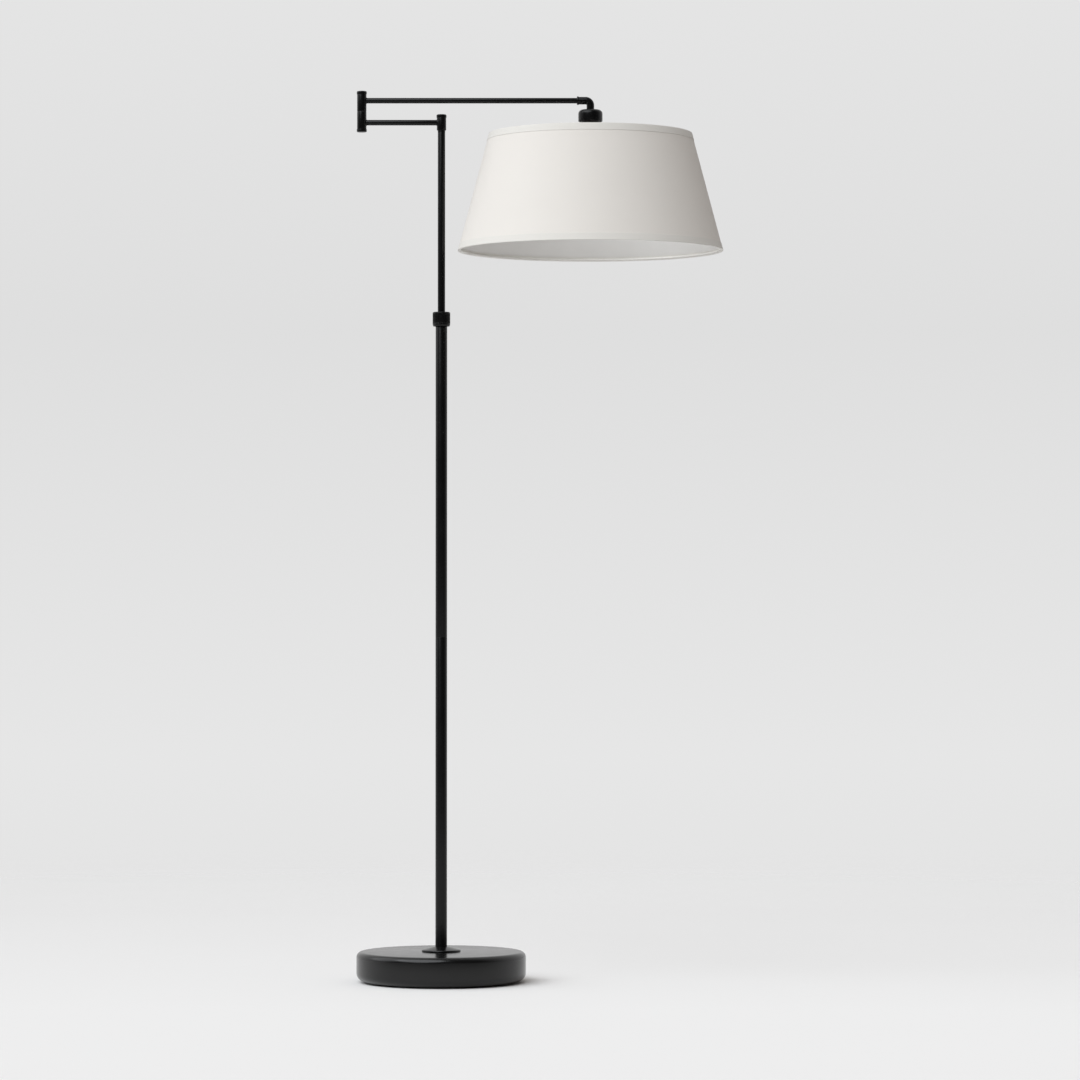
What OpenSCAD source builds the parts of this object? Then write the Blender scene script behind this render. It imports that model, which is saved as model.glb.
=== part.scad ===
// Swing arm floor lamp: a weighted round base, a telescoping pole with a twist lock,
// two arms on hollow pivots, and a tapered shade hung from an elbow.
// The origin is on the floor under the pole. +Z is up, and the arms lie along X.

/* [Base] */
// Diameter of the base
base_d = 288; // [250:1:320]
// Height of the base shell above its pad
base_h = 50; // [46:1:64]
// Radius of the shell's top edge
base_top_round = 9.5; // [5:0.5:12]
// Radius of the shell's bottom edge
base_bottom_round = 14; // [10:0.5:20]
// Sheet thickness of the shell
shell_wall = 2; // [1.2:0.1:2.6]
// Width of the lip that turns in under the shell
shell_lip = 19; // [8:1:24]
// Room between the shell's wall and the casting, for the supply lead
side_room = 15; // [12:1:20]
// Thickness of the felt pad
pad_t = 2.5; // [1.5:0.1:4]
// Thickness of the bottom plate
plate_t = 2; // [1.2:0.1:3]
// Diameter of the posts that hold the bottom plate
post_d = 14; // [12:0.5:18]
// Diameter of the threaded pipe that ties the base to the pole, and of the one in the lamp head
pipe_d = 9.8; // [9.2:0.1:10]
// Bore of the threaded pipe
pipe_bore = 6.4; // [5.8:0.1:7]
// Bore of the cord gland in the back of the base
gland_bore = 7.2; // [6.4:0.1:7.6]
// Diameter of the flange at the pole's foot
flange_d = 66; // [50:1:80]
// Height of the flange, where the pole stands in it
flange_h = 8; // [6:0.5:12]
// Height of the flange's rim
flange_edge = 3; // [2:0.5:5]
// Depth of the seat that the pole stands in
flange_seat = 5; // [3:0.5:5]

/* [Pole] */
// Outer diameter of the lower tube
lower_d = 19.8; // [18.6:0.1:20]
// Wall of the lower tube
lower_wall = 1.2; // [0.9:0.1:1.4]
// Length of each of the two lower tube sections
section_len = 531; // [450:1:560]
// Outer diameter of the sliding mast tube
mast_d = 12.7; // [12.2:0.1:13.1]
// Wall of the mast tube
mast_wall = 1; // [0.8:0.05:1.15]
// Travel of the mast, from full height down to its rest above the twist lock
mast_travel = 300; // [240:1:320]

/* [Twist lock] */
// Diameter of the twist lock's nut
lock_d = 30; // [28:0.5:34]
// Height of the nut
lock_h = 24.5; // [22:0.5:28]
// Length of the sleeve that is pressed into the lower tube
sleeve_len = 40; // [30:1:60]
// Length of the guide bush on the mast's lower end
guide_len = 18; // [12:1:30]
// Number of grip flutes round the nut
lock_flutes = 30; // [20:1:36]

/* [Arms] */
// Distance from the pole to the elbow pivot
short_arm = 136; // [120:1:160]
// Distance from the elbow pivot to the shade's centre
long_arm = 390; // [380:1:420]
// Height of the long arm's axis above the short arm's
arm_rise = 37.6; // [36:0.2:44]
// Outer diameter of both arm tubes
arm_d = 9.5; // [8.8:0.1:10]
// Wall of both arm tubes
arm_wall = 1; // [0.8:0.05:1.2]
// Diameter of the pivot barrels
barrel_d = 16; // [15.8:0.1:18]
// Wall of the pivot barrels round their wiring chambers
barrel_wall = 1.4; // [1.1:0.05:1.5]
// Height of each cap on the elbow pivot
cap_h = 5; // [4:0.2:7]
// How far the caps stand proud of the barrels
cap_lip = 0.6; // [0.2:0.1:1]
// Outer diameter of the hollow pivot spindles
pivot_d = 7.9; // [7.6:0.1:8.4]
// Bore of the pivot spindles
pivot_bore = 5.2; // [5:0.1:5.6]
// Diameter of the inner lead
lead_d = 4.4; // [4:0.1:4.6]
// Bend radius of the lead inside the pivots
lead_bend = 5; // [4.4:0.1:5.4]

/* [Lamp head] */
// Outer diameter of the end elbow
elbow_d = 13; // [12.4:0.1:15]
// Bend radius of the end elbow
elbow_bend = 8; // [8:0.5:12]
// Diameter of the cap over the lampholder
head_cap_d = 41.4; // [38:0.2:44]
// Height of that cap
head_cap_h = 20; // [17:0.5:23]
// Diameter of the lampholder's body
holder_d = 33; // [32:0.5:34]
// Diameter of the bulb's screw base
bulb_base_d = 26.4; // [26:0.1:27]
// Diameter of the bulb's globe
bulb_d = 60; // [50:1:70]
// Length of the bulb from its tip contact to its crown
bulb_len = 110; // [100:1:125]
// Drop from the elbow's foot to the shade's top rim
shade_hang = 41; // [40:0.5:52]
// Diameter of the switch knob
knob_d = 11; // [9:0.5:12]
// Length of the switch knob
knob_len = 14; // [10:0.5:18]

/* [Shade] */
// Diameter of the shade's top
shade_top_d = 346; // [300:1:380]
// Diameter of the shade's bottom
shade_bottom_d = 452; // [400:1:460]
// Height of the shade
shade_h = 200; // [170:1:230]
// Thickness of the fabric and its liner together
shade_wall = 1.5; // [1.2:0.1:2]
// Width of the fabric hem along both rims
hem_h = 12; // [8:0.5:14]
// How far the shade's centre ring hangs below its top rim
fitter_drop = 14; // [9:0.5:16]
// Diameter of the wires in the shade's rims
wire_d = 3; // [2.4:0.1:3.6]
// Diameter of the three spokes
spoke_d = 3.6; // [3:0.1:4.4]
// Diameter of the shade's centre ring
fitter_d = 54; // [50:1:60]

/* [Hidden] */

$fn = 96;
arc_steps = 10;       // steps in a quarter of a turned edge
fit = 0.05;           // clearance of a part fixed in another
run = 0.05;           // clearance of a pivot on its spindle
slide = 0.1;          // clearance of a part that slides on the mast
free = 0.3;           // clearance of a part that must not rub
over = 1;             // how far a cutting shape runs past what it cuts

base_r = base_d / 2;
base_top = pad_t + base_h;
lip_r = base_r - base_bottom_round - shell_lip;
pad_lap = 6;          // width of shell lip that stands on the pad
pad_r = lip_r + pad_lap;
stem_hole_r = pipe_d / 2 + 3 * fit;
flange_round = 1.2;   // radius of the flange's rim
flange_boss = 3;      // width of the flat ring round the pole's foot

// Hexagon nuts and plain washers on the threaded pipe
washer_t = 1.5;
stem_nut_h = 5.5;
stem_tail = 1;
stem_washer_d = 34;
stem_nut_af = 16;
stem_thread = 18;     // length of stem inside the pole's foot bush
stem_gap = 2;         // room between the stem and the bottom plate

under_room = plate_t + stem_gap + stem_tail + stem_nut_h + washer_t;
weight_z = pad_t + under_room;
weight_top = base_top - shell_wall;
weight_r = base_r - shell_wall - side_room;
weight_play = 1;      // room round the stem in the casting
weight_bore = pipe_d / 2 + weight_play;
post_margin = 4;      // width of bottom plate outside the posts
post_ring_r = lip_r - post_d / 2 - post_margin;
screw_d = 4;
screw_head_d = 8;
screw_len = 12;
screw_spare = 3;      // depth of a screw's hole past its tip
post_count = 4;
post_turn = 45;       // angle of the first post

// Cord gland in the back of the base
gland_wall = 1.4;
gland_body = gland_bore + 2 * gland_wall;
gland_brim = 1.5;     // width of the gland's outer flange round its body
gland_flange = gland_body + 2 * gland_brim;
gland_flange_t = 2;
gland_barb = 1;       // width of the collar that holds it inside the shell
gland_collar = gland_body + 2 * gland_barb;
gland_collar_t = 2;
gland_tail = 6;       // how far the gland reaches inside the shell
gland_margin = 1;     // flat wall between the shell's lower bend and the gland
gland_z = pad_t + base_bottom_round + gland_flange / 2 + gland_margin;

lower_r = lower_d / 2;
lower_ir = lower_r - lower_wall;
tube_z = base_top + flange_h - flange_seat;
joint_z = tube_z + section_len;
tube_top = joint_z + section_len;
bush_len = 20;
coupling_len = 40;
coupling_wall = 2.2;

mast_r = mast_d / 2;
mast_ir = mast_r - mast_wall;
guide_gap = 0.5;      // room between the guide bush and the sleeve that stops it
guide_lip = 3;
mast_bottom = tube_top - sleeve_len - guide_gap - guide_len;
lead_r = lead_d / 2;
pipe_r = pipe_d / 2;
pipe_ir = pipe_bore / 2;
pivot_r = pivot_d / 2;
pivot_ir = pivot_bore / 2;

// Twist lock, measured up from the top of the lower tube
lock_skirt = 1.5;     // how far the nut hangs below the lower tube's top
lock_top = tube_top - lock_skirt + lock_h;
mast_rest = 8;        // room between the nut and the swivel with the mast right down
mast_top = lock_top + mast_rest + mast_travel;
lock_shoulder = 3;
lock_thread_h = 8;
lock_step = 1.5;      // how far the lock body's thread stands out past the tube
collet_room = 3;      // least room for the collet between mast and lock body
lock_thread_r = max(lower_r, mast_r + collet_room) + lock_step;
collet_cone = 5;
collet_belt = 1;
collet_ir = mast_r + slide;
cone_wall = 1.7;      // wall of the lock body at the wide end of its cone
collet_r = lock_thread_r - cone_wall;
collet_toe = 0.5;
collet_slit = 1.2;
collet_z = tube_top + lock_shoulder + lock_thread_h - collet_cone;
collet_gap = 0.15;
cone_relief = 0.5;    // flat groove under the collet
lock_nut_ir = lock_thread_r + slide;
flute_r = 0.9;
flute_margin = 1;     // plain metal above and below the flutes
lock_edge = 1.2;
lock_taper = 3;

// Pivot barrels and their spindles
barrel_r = barrel_d / 2;
chamber_r = barrel_r - barrel_wall;
arm_r = arm_d / 2;
arm_inset = 0.6;      // how far an arm tube's end stops short of the wiring chamber
arm_seat = sqrt(chamber_r * chamber_r - arm_r * arm_r) + arm_inset;
spindle_plug = 16;
spindle_flange = 1.5;
thrust_t = 0.8;
floor_t = 3;
spring_t = 0.6;
pivot_nut_h = 3.4;
pivot_nut_af = 2 * (chamber_r - free) * cos(30);
thread_end = 0.4;
roof_t = 7;
pivot_gap = 1;        // thickness of the washer between the two knuckles
plug_len = 3;
cap_edge = 1.6;       // radius of a cap's rim
cap_crown = 0.6;      // rise of a cap's top to its middle
plug_room = 2.8;      // room between an arm tube and the plug of a cap in the elbow pivot
swivel_room = 1;      // the same in the swivel on the mast
nut_room = 1;         // room between a pivot nut and the arm tube above it

swivel_z = mast_top + spindle_flange + thrust_t;
short_z = swivel_z + floor_t + spring_t + pivot_nut_h + thread_end + nut_room + arm_r;
swivel_top = short_z + arm_r + swivel_room + plug_len;
long_z = short_z + arm_rise;
pivot_z = (short_z + long_z) / 2;
knuckle_half = arm_rise / 2 + arm_r + plug_room + plug_len + cap_h;
pivot_x = -short_arm;
head_x = long_arm - short_arm;

// Where the lead passes from one moving piece to the next
mast_split = swivel_z + floor_t + spring_t + pivot_nut_h + thread_end;
elbow_split = pivot_z;

// Lamp head, measured down from the long arm
elbow_r = elbow_d / 2;
elbow_leg = 15;
elbow_bore_r = arm_r - arm_wall;
elbow_stop = 2;       // how far short of the bend the arm tube stops
elbow_bead = 0.8;
elbow_bead_w = 3;
elbow_foot = 7.6;     // straight length below the bend
head_top = long_z - elbow_bend - elbow_foot;
head_cap_wall = 1.2;
head_cap_round = 7;
head_nut_af = 14;
head_nut_h = 4.4;
nipple_grip = 8;      // length of nipple inside the lampholder
lead_tail = 6;        // length of lead inside the lampholder, past the nipple
lead_room = 1;        // room past the lead's end
holder_top = head_top - head_cap_wall - head_nut_h;
holder_r = holder_d / 2;
holder_neck = 4;
holder_neck_wall = 4;
holder_slope = 4;
flange_t = 3;
flange_rim = 4;       // width of the holder's flange round its body
shade_top = head_top - shade_hang;
fitter_t = 1.6;
fitter_z = shade_top - fitter_drop;
holder_flange_z = fitter_z + fitter_t;
holder_flange_r = holder_r + flange_rim;
holder_thread = 24;
holder_end = holder_flange_z - holder_thread;
shell_t = 0.5;
shell_bore_r = bulb_base_d / 2 + free;
holder_bore_r = shell_bore_r + shell_t + fit;
socket_rise = 5;      // height of the socket's floor above the flange
holder_bore_top = holder_flange_z + socket_rise;
shell_inset = 2;      // how far the screw shell lies inside the holder's mouth
shell_rise = 1;       // how far the screw shell goes up past the flange
contact_r = 4.5;
contact_t = 1;
ring_nut_h = 8.8;
ring_nut_wall = 6;
ring_nut_r = holder_r + ring_nut_wall;
ring_flute_r = 2;
ring_lip = 2;         // plain rim above the ring nut's flutes
ring_flutes = 16;
bulb_tip_h = 2;
bulb_tip_r = 4;
bulb_cone_h = 4;      // height of the taper at the base's end
bulb_cone_r = 5;
bulb_tip_z = holder_bore_top - contact_t;
bulb_base_h = 23;
glass_t = 1;
bulb_r = bulb_d / 2;
bulb_centre_z = bulb_tip_z - bulb_len + bulb_r;
glass_inset = 0.2;    // how far the glass lies inside the base's rim
bulb_neck_r = bulb_base_d / 2 - glass_inset;
bulb_neck_z = bulb_tip_z - bulb_tip_h - bulb_base_h;

knob_rise = 9;        // room between the holder's flange and the knob
switch_z = holder_flange_z + flange_t + knob_rise + knob_d / 2;
switch_shaft_r = 1.6;
switch_bushing_r = 3.5;
bushing_seat = 3;     // depth of the bushing in the holder's wall
bushing_proud = 1;    // how far it stands out
shaft_seat = 8;       // depth of the shaft inside the holder
shaft_grip = 8;       // length of the shaft inside the knob
knob_r = knob_d / 2;
knob_gap = 0.6;
knob_y = holder_r + bushing_proud + knob_gap;
knob_flutes = 12;
knob_flute_r = 1;
knob_skirt = 2;       // plain rim at the knob's foot
knob_foot = 1;        // bevel at the knob's foot
knob_taper = 0.5;     // how much the knob widens from its foot to its nose
knob_round = 2.4;     // radius of the knob's nose

// Shade
shade_bottom = shade_top - shade_h;
shade_slope = (shade_bottom_d - shade_top_d) / 2 / shade_h;
seam_side = 90;       // the seam is at the back
seam_angle = 3;
seam_t = 0.6;
hem_t = 0.6;
wire_r = wire_d / 2;
spoke_r = spoke_d / 2;
spoke_count = 3;
spoke_turn = 60;
spoke_inset = 2;      // how far a spoke's end lies on the centre ring
wire_inset = 1;       // how far a rim wire lies inside the shade's edge

// Points of an arc about centre c, from angle a0 to a1
function arc(c, r, a0, a1) =
    [for (i = [0 : arc_steps]) let (a = a0 + (a1 - a0) * i / arc_steps) c + r * [cos(a), sin(a)]];

// Outer radius of the shade at height z
function shade_r(z) = shade_top_d / 2 + (shade_top - z) * shade_slope;

// Radius of the rim wire's own circle at height z, where it rests against the sloping liner
function wire_ring_r(z) = shade_r(z) - shade_wall - wire_r / cos(atan(shade_slope)) - 2 * fit;

// Plain building blocks
module tube(r_out, r_in, z0, z1) {
    translate([0, 0, z0]) difference() {
        cylinder(r = r_out, h = z1 - z0);
        translate([0, 0, -over]) cylinder(r = r_in, h = z1 - z0 + 2 * over);
    }
}

module rod_z(r, z0, z1) {
    translate([0, 0, z0]) cylinder(r = r, h = z1 - z0);
}

module rod_x(r, x0, x1, z) {
    translate([x0, 0, z]) rotate([0, 90, 0]) cylinder(r = r, h = x1 - x0);
}

// Hexagon nut with a plain bore for the pipe
module hex_nut(af, h, bore_r, z) {
    translate([0, 0, z]) difference() {
        cylinder(d = af / cos(30), h = h, $fn = 6);
        translate([0, 0, -over]) cylinder(r = bore_r, h = h + 2 * over);
    }
}

// Quarter bend of a round rod in the XZ plane, about the point [x, z], starting at angle a
module quarter_bend(r, bend, x, z, a) {
    translate([x, 0, z]) rotate([90, 0, 0]) rotate([0, 0, a])
        rotate_extrude(angle = 90) translate([bend, 0]) circle(r = r);
}

// Vertical round profile cutter used for grip flutes
module flutes(count, r_centre, r, z0, z1) {
    for (i = [0 : count - 1]) rotate([0, 0, i * 360 / count])
        translate([r_centre, 0, z0]) cylinder(r = r, h = z1 - z0, $fn = 24);
}

// Base
module felt_pad() {
    color("dimgray") rod_z(pad_r, 0, pad_t);
}

module bottom_plate() {
    color("gray") translate([0, 0, pad_t]) difference() {
        cylinder(r = lip_r - free, h = plate_t);
        for (i = [0 : post_count - 1]) rotate([0, 0, post_turn + i * 360 / post_count])
            translate([post_ring_r, 0, -over]) {
                cylinder(d = screw_d + 2 * free, h = plate_t + 2 * over);
                translate([0, 0, over])
                    cylinder(d1 = screw_head_d + free, d2 = screw_d + free, h = plate_t);
            }
    }
}

module plate_screws() {
    color("silver") for (i = [0 : post_count - 1]) rotate([0, 0, post_turn + i * 360 / post_count])
        translate([post_ring_r, 0, pad_t + fit]) {
            cylinder(d1 = screw_head_d - free, d2 = screw_d - fit, h = plate_t - fit);
            cylinder(d = screw_d - fit, h = screw_len);
        }
}

module base_weight() {
    color("darkgray") difference() {
        union() {
            rod_z(weight_r, weight_z, weight_top);
            for (i = [0 : post_count - 1]) rotate([0, 0, post_turn + i * 360 / post_count])
                translate([post_ring_r, 0, 0]) rod_z(post_d / 2, pad_t + plate_t, weight_z + over);
        }
        rod_z(weight_bore, 0, base_top);
        for (i = [0 : post_count - 1]) rotate([0, 0, post_turn + i * 360 / post_count])
            translate([post_ring_r, 0, 0]) rod_z(screw_d / 2 + fit, 0, pad_t + screw_len + screw_spare);
    }
}

module base_shell() {
    top_c = [base_r - base_top_round, base_top - base_top_round];
    low_c = [base_r - base_bottom_round, pad_t + base_bottom_round];
    color([0.09, 0.09, 0.095]) difference() {
        rotate_extrude($fn = 180) polygon(concat(
            [[stem_hole_r, base_top]],
            arc(top_c, base_top_round, 90, 0),
            arc(low_c, base_bottom_round, 0, -90),
            [[lip_r, pad_t], [lip_r, pad_t + shell_wall]],
            arc(low_c, base_bottom_round - shell_wall, -90, 0),
            arc(top_c, base_top_round - shell_wall, 0, 90),
            [[stem_hole_r, base_top - shell_wall]]
        ));
        translate([0, base_r - 2 * over - shell_wall, gland_z]) rotate([-90, 0, 0])
            cylinder(d = gland_body + 2 * fit, h = shell_wall + 4 * over);
    }
}

module cord_gland() {
    inner_y = sqrt(pow(base_r - shell_wall, 2) - pow(gland_collar / 2, 2)) - fit;
    color([0.05, 0.05, 0.05]) translate([0, 0, gland_z]) rotate([-90, 0, 0]) difference() {
        union() {
            translate([0, 0, base_r + fit]) cylinder(d = gland_flange, h = gland_flange_t);
            translate([0, 0, inner_y - gland_tail])
                cylinder(d = gland_body, h = base_r - inner_y + gland_tail + gland_flange_t);
            translate([0, 0, inner_y - gland_collar_t]) cylinder(d = gland_collar, h = gland_collar_t);
        }
        translate([0, 0, inner_y - gland_tail - over])
            cylinder(d = gland_bore, h = base_r - inner_y + gland_tail + gland_flange_t + 2 * over);
    }
}

module stem_pipe() {
    bottom = weight_z - washer_t - stem_nut_h - stem_tail;
    color("silver") tube(pipe_r, pipe_ir, bottom, tube_z + stem_thread);
}

module stem_washer() {
    color("silver") tube(stem_washer_d / 2, pipe_r + fit, weight_z - washer_t, weight_z);
}

module stem_nut() {
    color("silver") hex_nut(stem_nut_af, stem_nut_h, pipe_r + fit, weight_z - washer_t - stem_nut_h);
}

// Flange that the pole stands in: a low cone with a flat ring round the pole
module pole_flange() {
    rim = [flange_d / 2 - flange_round, flange_edge - flange_round];
    boss_r = lower_r + flange_boss;
    slope = atan((flange_h - flange_edge) / (rim[0] - boss_r));
    color([0.07, 0.07, 0.07]) translate([0, 0, base_top]) rotate_extrude() polygon(concat(
        [[stem_hole_r, 0], [flange_d / 2, 0]],
        arc(rim, flange_round, 0, 90 - slope),
        [[boss_r, flange_h], [lower_r + fit, flange_h], [lower_r + fit, flange_h - flange_seat]],
        [[stem_hole_r, flange_h - flange_seat]]
    ));
}

// Pole
module foot_bush() {
    color("goldenrod") tube(lower_ir - fit, pipe_r + fit, tube_z, tube_z + bush_len);
}

module lower_tube_bottom() {
    color([0.05, 0.05, 0.05]) tube(lower_r, lower_ir, tube_z, joint_z);
}

module tube_coupling() {
    half = coupling_len / 2;
    color("goldenrod") tube(lower_ir - fit, lower_ir - coupling_wall, joint_z - half, joint_z + half);
}

module lower_tube_top() {
    color([0.05, 0.05, 0.05]) tube(lower_r, lower_ir, joint_z, tube_top);
}

// Twist lock: a sleeve in the tube, a split collet in its cone and a nut that squeezes it
module lock_body() {
    bore = mast_r + free;
    color("goldenrod") rotate_extrude() polygon([
        [bore, tube_top - sleeve_len],
        [lower_ir - fit, tube_top - sleeve_len],
        [lower_ir - fit, tube_top],
        [lower_r, tube_top],
        [lower_r, tube_top + lock_shoulder],
        [lock_thread_r, tube_top + lock_shoulder],
        [lock_thread_r, collet_z + collet_cone],
        [collet_r + collet_gap, collet_z + collet_cone],
        [collet_ir + collet_toe + collet_gap, collet_z],
        [collet_ir + collet_toe + collet_gap, collet_z - cone_relief],
        [bore, collet_z - cone_relief]
    ]);
}

module lock_collet() {
    top = collet_z + 2 * collet_cone + collet_belt;
    color("ivory") difference() {
        rotate_extrude() polygon([
            [collet_ir, collet_z], [collet_ir + collet_toe, collet_z],
            [collet_r, collet_z + collet_cone], [collet_r, collet_z + collet_cone + collet_belt],
            [collet_ir + collet_toe, top], [collet_ir, top]
        ]);
        translate([0, -collet_slit / 2, collet_z - over])
            cube([collet_r + over, collet_slit, top - collet_z + 2 * over]);
    }
}

module lock_nut() {
    bottom = tube_top - lock_skirt;
    top = lock_top;
    belt = collet_z + collet_cone;
    cone_top = belt + collet_belt + collet_cone;
    color([0.06, 0.06, 0.06]) difference() {
        rotate_extrude() polygon([
            [lock_nut_ir, bottom],
            [lock_d / 2 - lock_edge, bottom], [lock_d / 2, bottom + lock_taper],
            [lock_d / 2, top - lock_edge], [lock_d / 2 - lock_edge, top],
            [mast_r + free, top], [mast_r + free, cone_top + collet_gap],
            [collet_ir + collet_toe + collet_gap, cone_top],
            [collet_r + collet_gap, belt + collet_belt], [collet_r + collet_gap, belt + 2 * fit],
            [lock_nut_ir, belt + 2 * fit]
        ]);
        flutes(lock_flutes, lock_d / 2 + flute_r / 2, flute_r,
            bottom + lock_taper + flute_margin, top - lock_edge - flute_margin);
    }
}

// Mast
module mast_tube() {
    color([0.16, 0.16, 0.16]) tube(mast_r, mast_ir, mast_bottom, mast_top);
}

module guide_bush() {
    color("ivory") rotate_extrude() polygon([
        [lead_r + free, mast_bottom - guide_lip], [lower_ir - slide, mast_bottom - guide_lip],
        [lower_ir - slide, mast_bottom + guide_len], [mast_r + fit, mast_bottom + guide_len],
        [mast_r + fit, mast_bottom], [lead_r + free, mast_bottom]
    ]);
}

module mast_spindle() {
    color("silver") difference() {
        union() {
            rod_z(mast_ir - fit, mast_top - spindle_plug, mast_top);
            rod_z(mast_r, mast_top, mast_top + spindle_flange);
            rod_z(pivot_r, mast_top + spindle_flange, mast_split);
        }
        rod_z(pivot_ir, mast_top - spindle_plug - over, mast_split + over);
    }
}

module mast_washer() {
    color([0.04, 0.04, 0.04]) tube(mast_r, pivot_r + run, mast_top + spindle_flange, swivel_z);
}

module mast_spring_washer() {
    color("silver") tube(chamber_r - free, pivot_r + fit, swivel_z + floor_t, swivel_z + floor_t + spring_t);
}

module mast_nut() {
    color("silver") hex_nut(pivot_nut_af, pivot_nut_h, pivot_r + fit, swivel_z + floor_t + spring_t);
}

module mast_lead() {
    color([0.03, 0.03, 0.03]) rod_z(lead_r, mast_bottom - guide_lip, mast_split);
}

// A barrel with a wiring chamber, open at one end, and a side hole for an arm
module barrel(z0, z1, chamber_z0, chamber_z1, arm_z, side) {
    difference() {
        rod_z(barrel_r, z0, z1);
        rod_z(chamber_r, chamber_z0, chamber_z1);
        rod_z(pivot_r + run, z0 - over, z1 + over);
        rod_x(arm_r + fit, side < 0 ? -barrel_r - over : 0, side < 0 ? 0 : barrel_r + over, arm_z);
    }
}

// Turned cap with a plug that closes a barrel. It is drawn pointing up from height 0.
module barrel_cap() {
    r = barrel_r + cap_lip;
    rotate_extrude() polygon(concat(
        [[0, -plug_len], [chamber_r - fit, -plug_len], [chamber_r - fit, 0], [r, 0]],
        arc([r - cap_edge, cap_h - cap_edge], cap_edge, 0, 90),
        [[0, cap_h + cap_crown]]
    ));
}

// Short arm, from the swivel on the mast to the lower half of the elbow pivot
module swivel_barrel() {
    color([0.07, 0.07, 0.07])
        barrel(swivel_z, swivel_top, swivel_z + floor_t, swivel_top + over, short_z, -1);
}

module swivel_cap() {
    color([0.07, 0.07, 0.07]) translate([0, 0, swivel_top]) barrel_cap();
}

module short_arm_tube() {
    color([0.08, 0.08, 0.08]) difference() {
        rod_x(arm_r, pivot_x + arm_seat, -arm_seat, short_z);
        rod_x(arm_r - arm_wall, pivot_x, 0, short_z);
    }
}

module lower_knuckle() {
    bottom = pivot_z - pivot_gap / 2 - knuckle_half + cap_h;
    top = pivot_z - pivot_gap / 2;
    color([0.07, 0.07, 0.07]) translate([pivot_x, 0, 0])
        barrel(bottom, top, bottom - over, top - roof_t, short_z, 1);
}

module lower_knuckle_cap() {
    color([0.07, 0.07, 0.07]) translate([pivot_x, 0, pivot_z - pivot_gap / 2 - knuckle_half + cap_h])
        mirror([0, 0, 1]) barrel_cap();
}

module elbow_spindle() {
    flange_z = pivot_z - pivot_gap / 2 - roof_t;
    color("silver") translate([pivot_x, 0, 0]) difference() {
        union() {
            rod_z(chamber_r - free, flange_z - spindle_flange, flange_z);
            rod_z(pivot_r, flange_z, pivot_z + pivot_gap / 2 + floor_t + spring_t + pivot_nut_h + thread_end);
        }
        rod_z(pivot_ir, flange_z - spindle_flange - over, long_z);
    }
}

module elbow_washer() {
    color([0.04, 0.04, 0.04]) translate([pivot_x, 0, 0])
        tube(barrel_r - free, pivot_r + run, pivot_z - pivot_gap / 2, pivot_z + pivot_gap / 2);
}

module elbow_spring_washer() {
    z = pivot_z + pivot_gap / 2 + floor_t;
    color("silver") translate([pivot_x, 0, 0]) tube(chamber_r - free, pivot_r + fit, z, z + spring_t);
}

module elbow_nut() {
    color("silver") translate([pivot_x, 0, 0])
        hex_nut(pivot_nut_af, pivot_nut_h, pivot_r + fit, pivot_z + pivot_gap / 2 + floor_t + spring_t);
}

module short_arm_lead() {
    color([0.03, 0.03, 0.03]) {
        rod_z(lead_r, mast_split, short_z - lead_bend);
        quarter_bend(lead_r, lead_bend, -lead_bend, short_z - lead_bend, 0);
        rod_x(lead_r, pivot_x + lead_bend, -lead_bend, short_z);
        quarter_bend(lead_r, lead_bend, pivot_x + lead_bend, short_z + lead_bend, 180);
        translate([pivot_x, 0, 0]) rod_z(lead_r, short_z + lead_bend, elbow_split);
    }
}

// Long arm, from the upper half of the elbow pivot to the end elbow over the shade
module upper_knuckle() {
    bottom = pivot_z + pivot_gap / 2;
    top = bottom + knuckle_half - cap_h;
    color([0.07, 0.07, 0.07]) translate([pivot_x, 0, 0])
        barrel(bottom, top, bottom + floor_t, top + over, long_z, 1);
}

module upper_knuckle_cap() {
    color([0.07, 0.07, 0.07]) translate([pivot_x, 0, pivot_z + pivot_gap / 2 + knuckle_half - cap_h])
        barrel_cap();
}

module long_arm_tube() {
    color([0.08, 0.08, 0.08]) difference() {
        rod_x(arm_r, pivot_x + arm_seat, head_x - elbow_bend - elbow_stop, long_z);
        rod_x(arm_r - arm_wall, pivot_x, head_x, long_z);
    }
}

module end_elbow() {
    leg_x = head_x - elbow_bend - elbow_leg;
    bend_z = long_z - elbow_bend;
    color([0.07, 0.07, 0.07]) difference() {
        union() {
            rod_x(elbow_r, leg_x, head_x - elbow_bend, long_z);
            rod_x(elbow_r + elbow_bead, leg_x, leg_x + elbow_bead_w, long_z);
            quarter_bend(elbow_r, elbow_bend, head_x - elbow_bend, bend_z, 0);
            translate([head_x, 0, 0]) rod_z(elbow_r, head_top, bend_z);
        }
        rod_x(arm_r + fit, leg_x - over, head_x - elbow_bend - elbow_stop, long_z);
        rod_x(elbow_bore_r, leg_x, head_x - elbow_bend, long_z);
        quarter_bend(elbow_bore_r, elbow_bend, head_x - elbow_bend, bend_z, 0);
        translate([head_x, 0, 0]) rod_z(pipe_r + fit, head_top - over, bend_z);
    }
}

module head_nipple() {
    color("silver") translate([head_x, 0, 0])
        tube(pipe_r, pipe_ir, holder_top - nipple_grip, long_z - elbow_bend - 2 * fit);
}

module head_nut() {
    color("silver") translate([head_x, 0, 0]) hex_nut(head_nut_af, head_nut_h, pipe_r + fit, holder_top);
}

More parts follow.
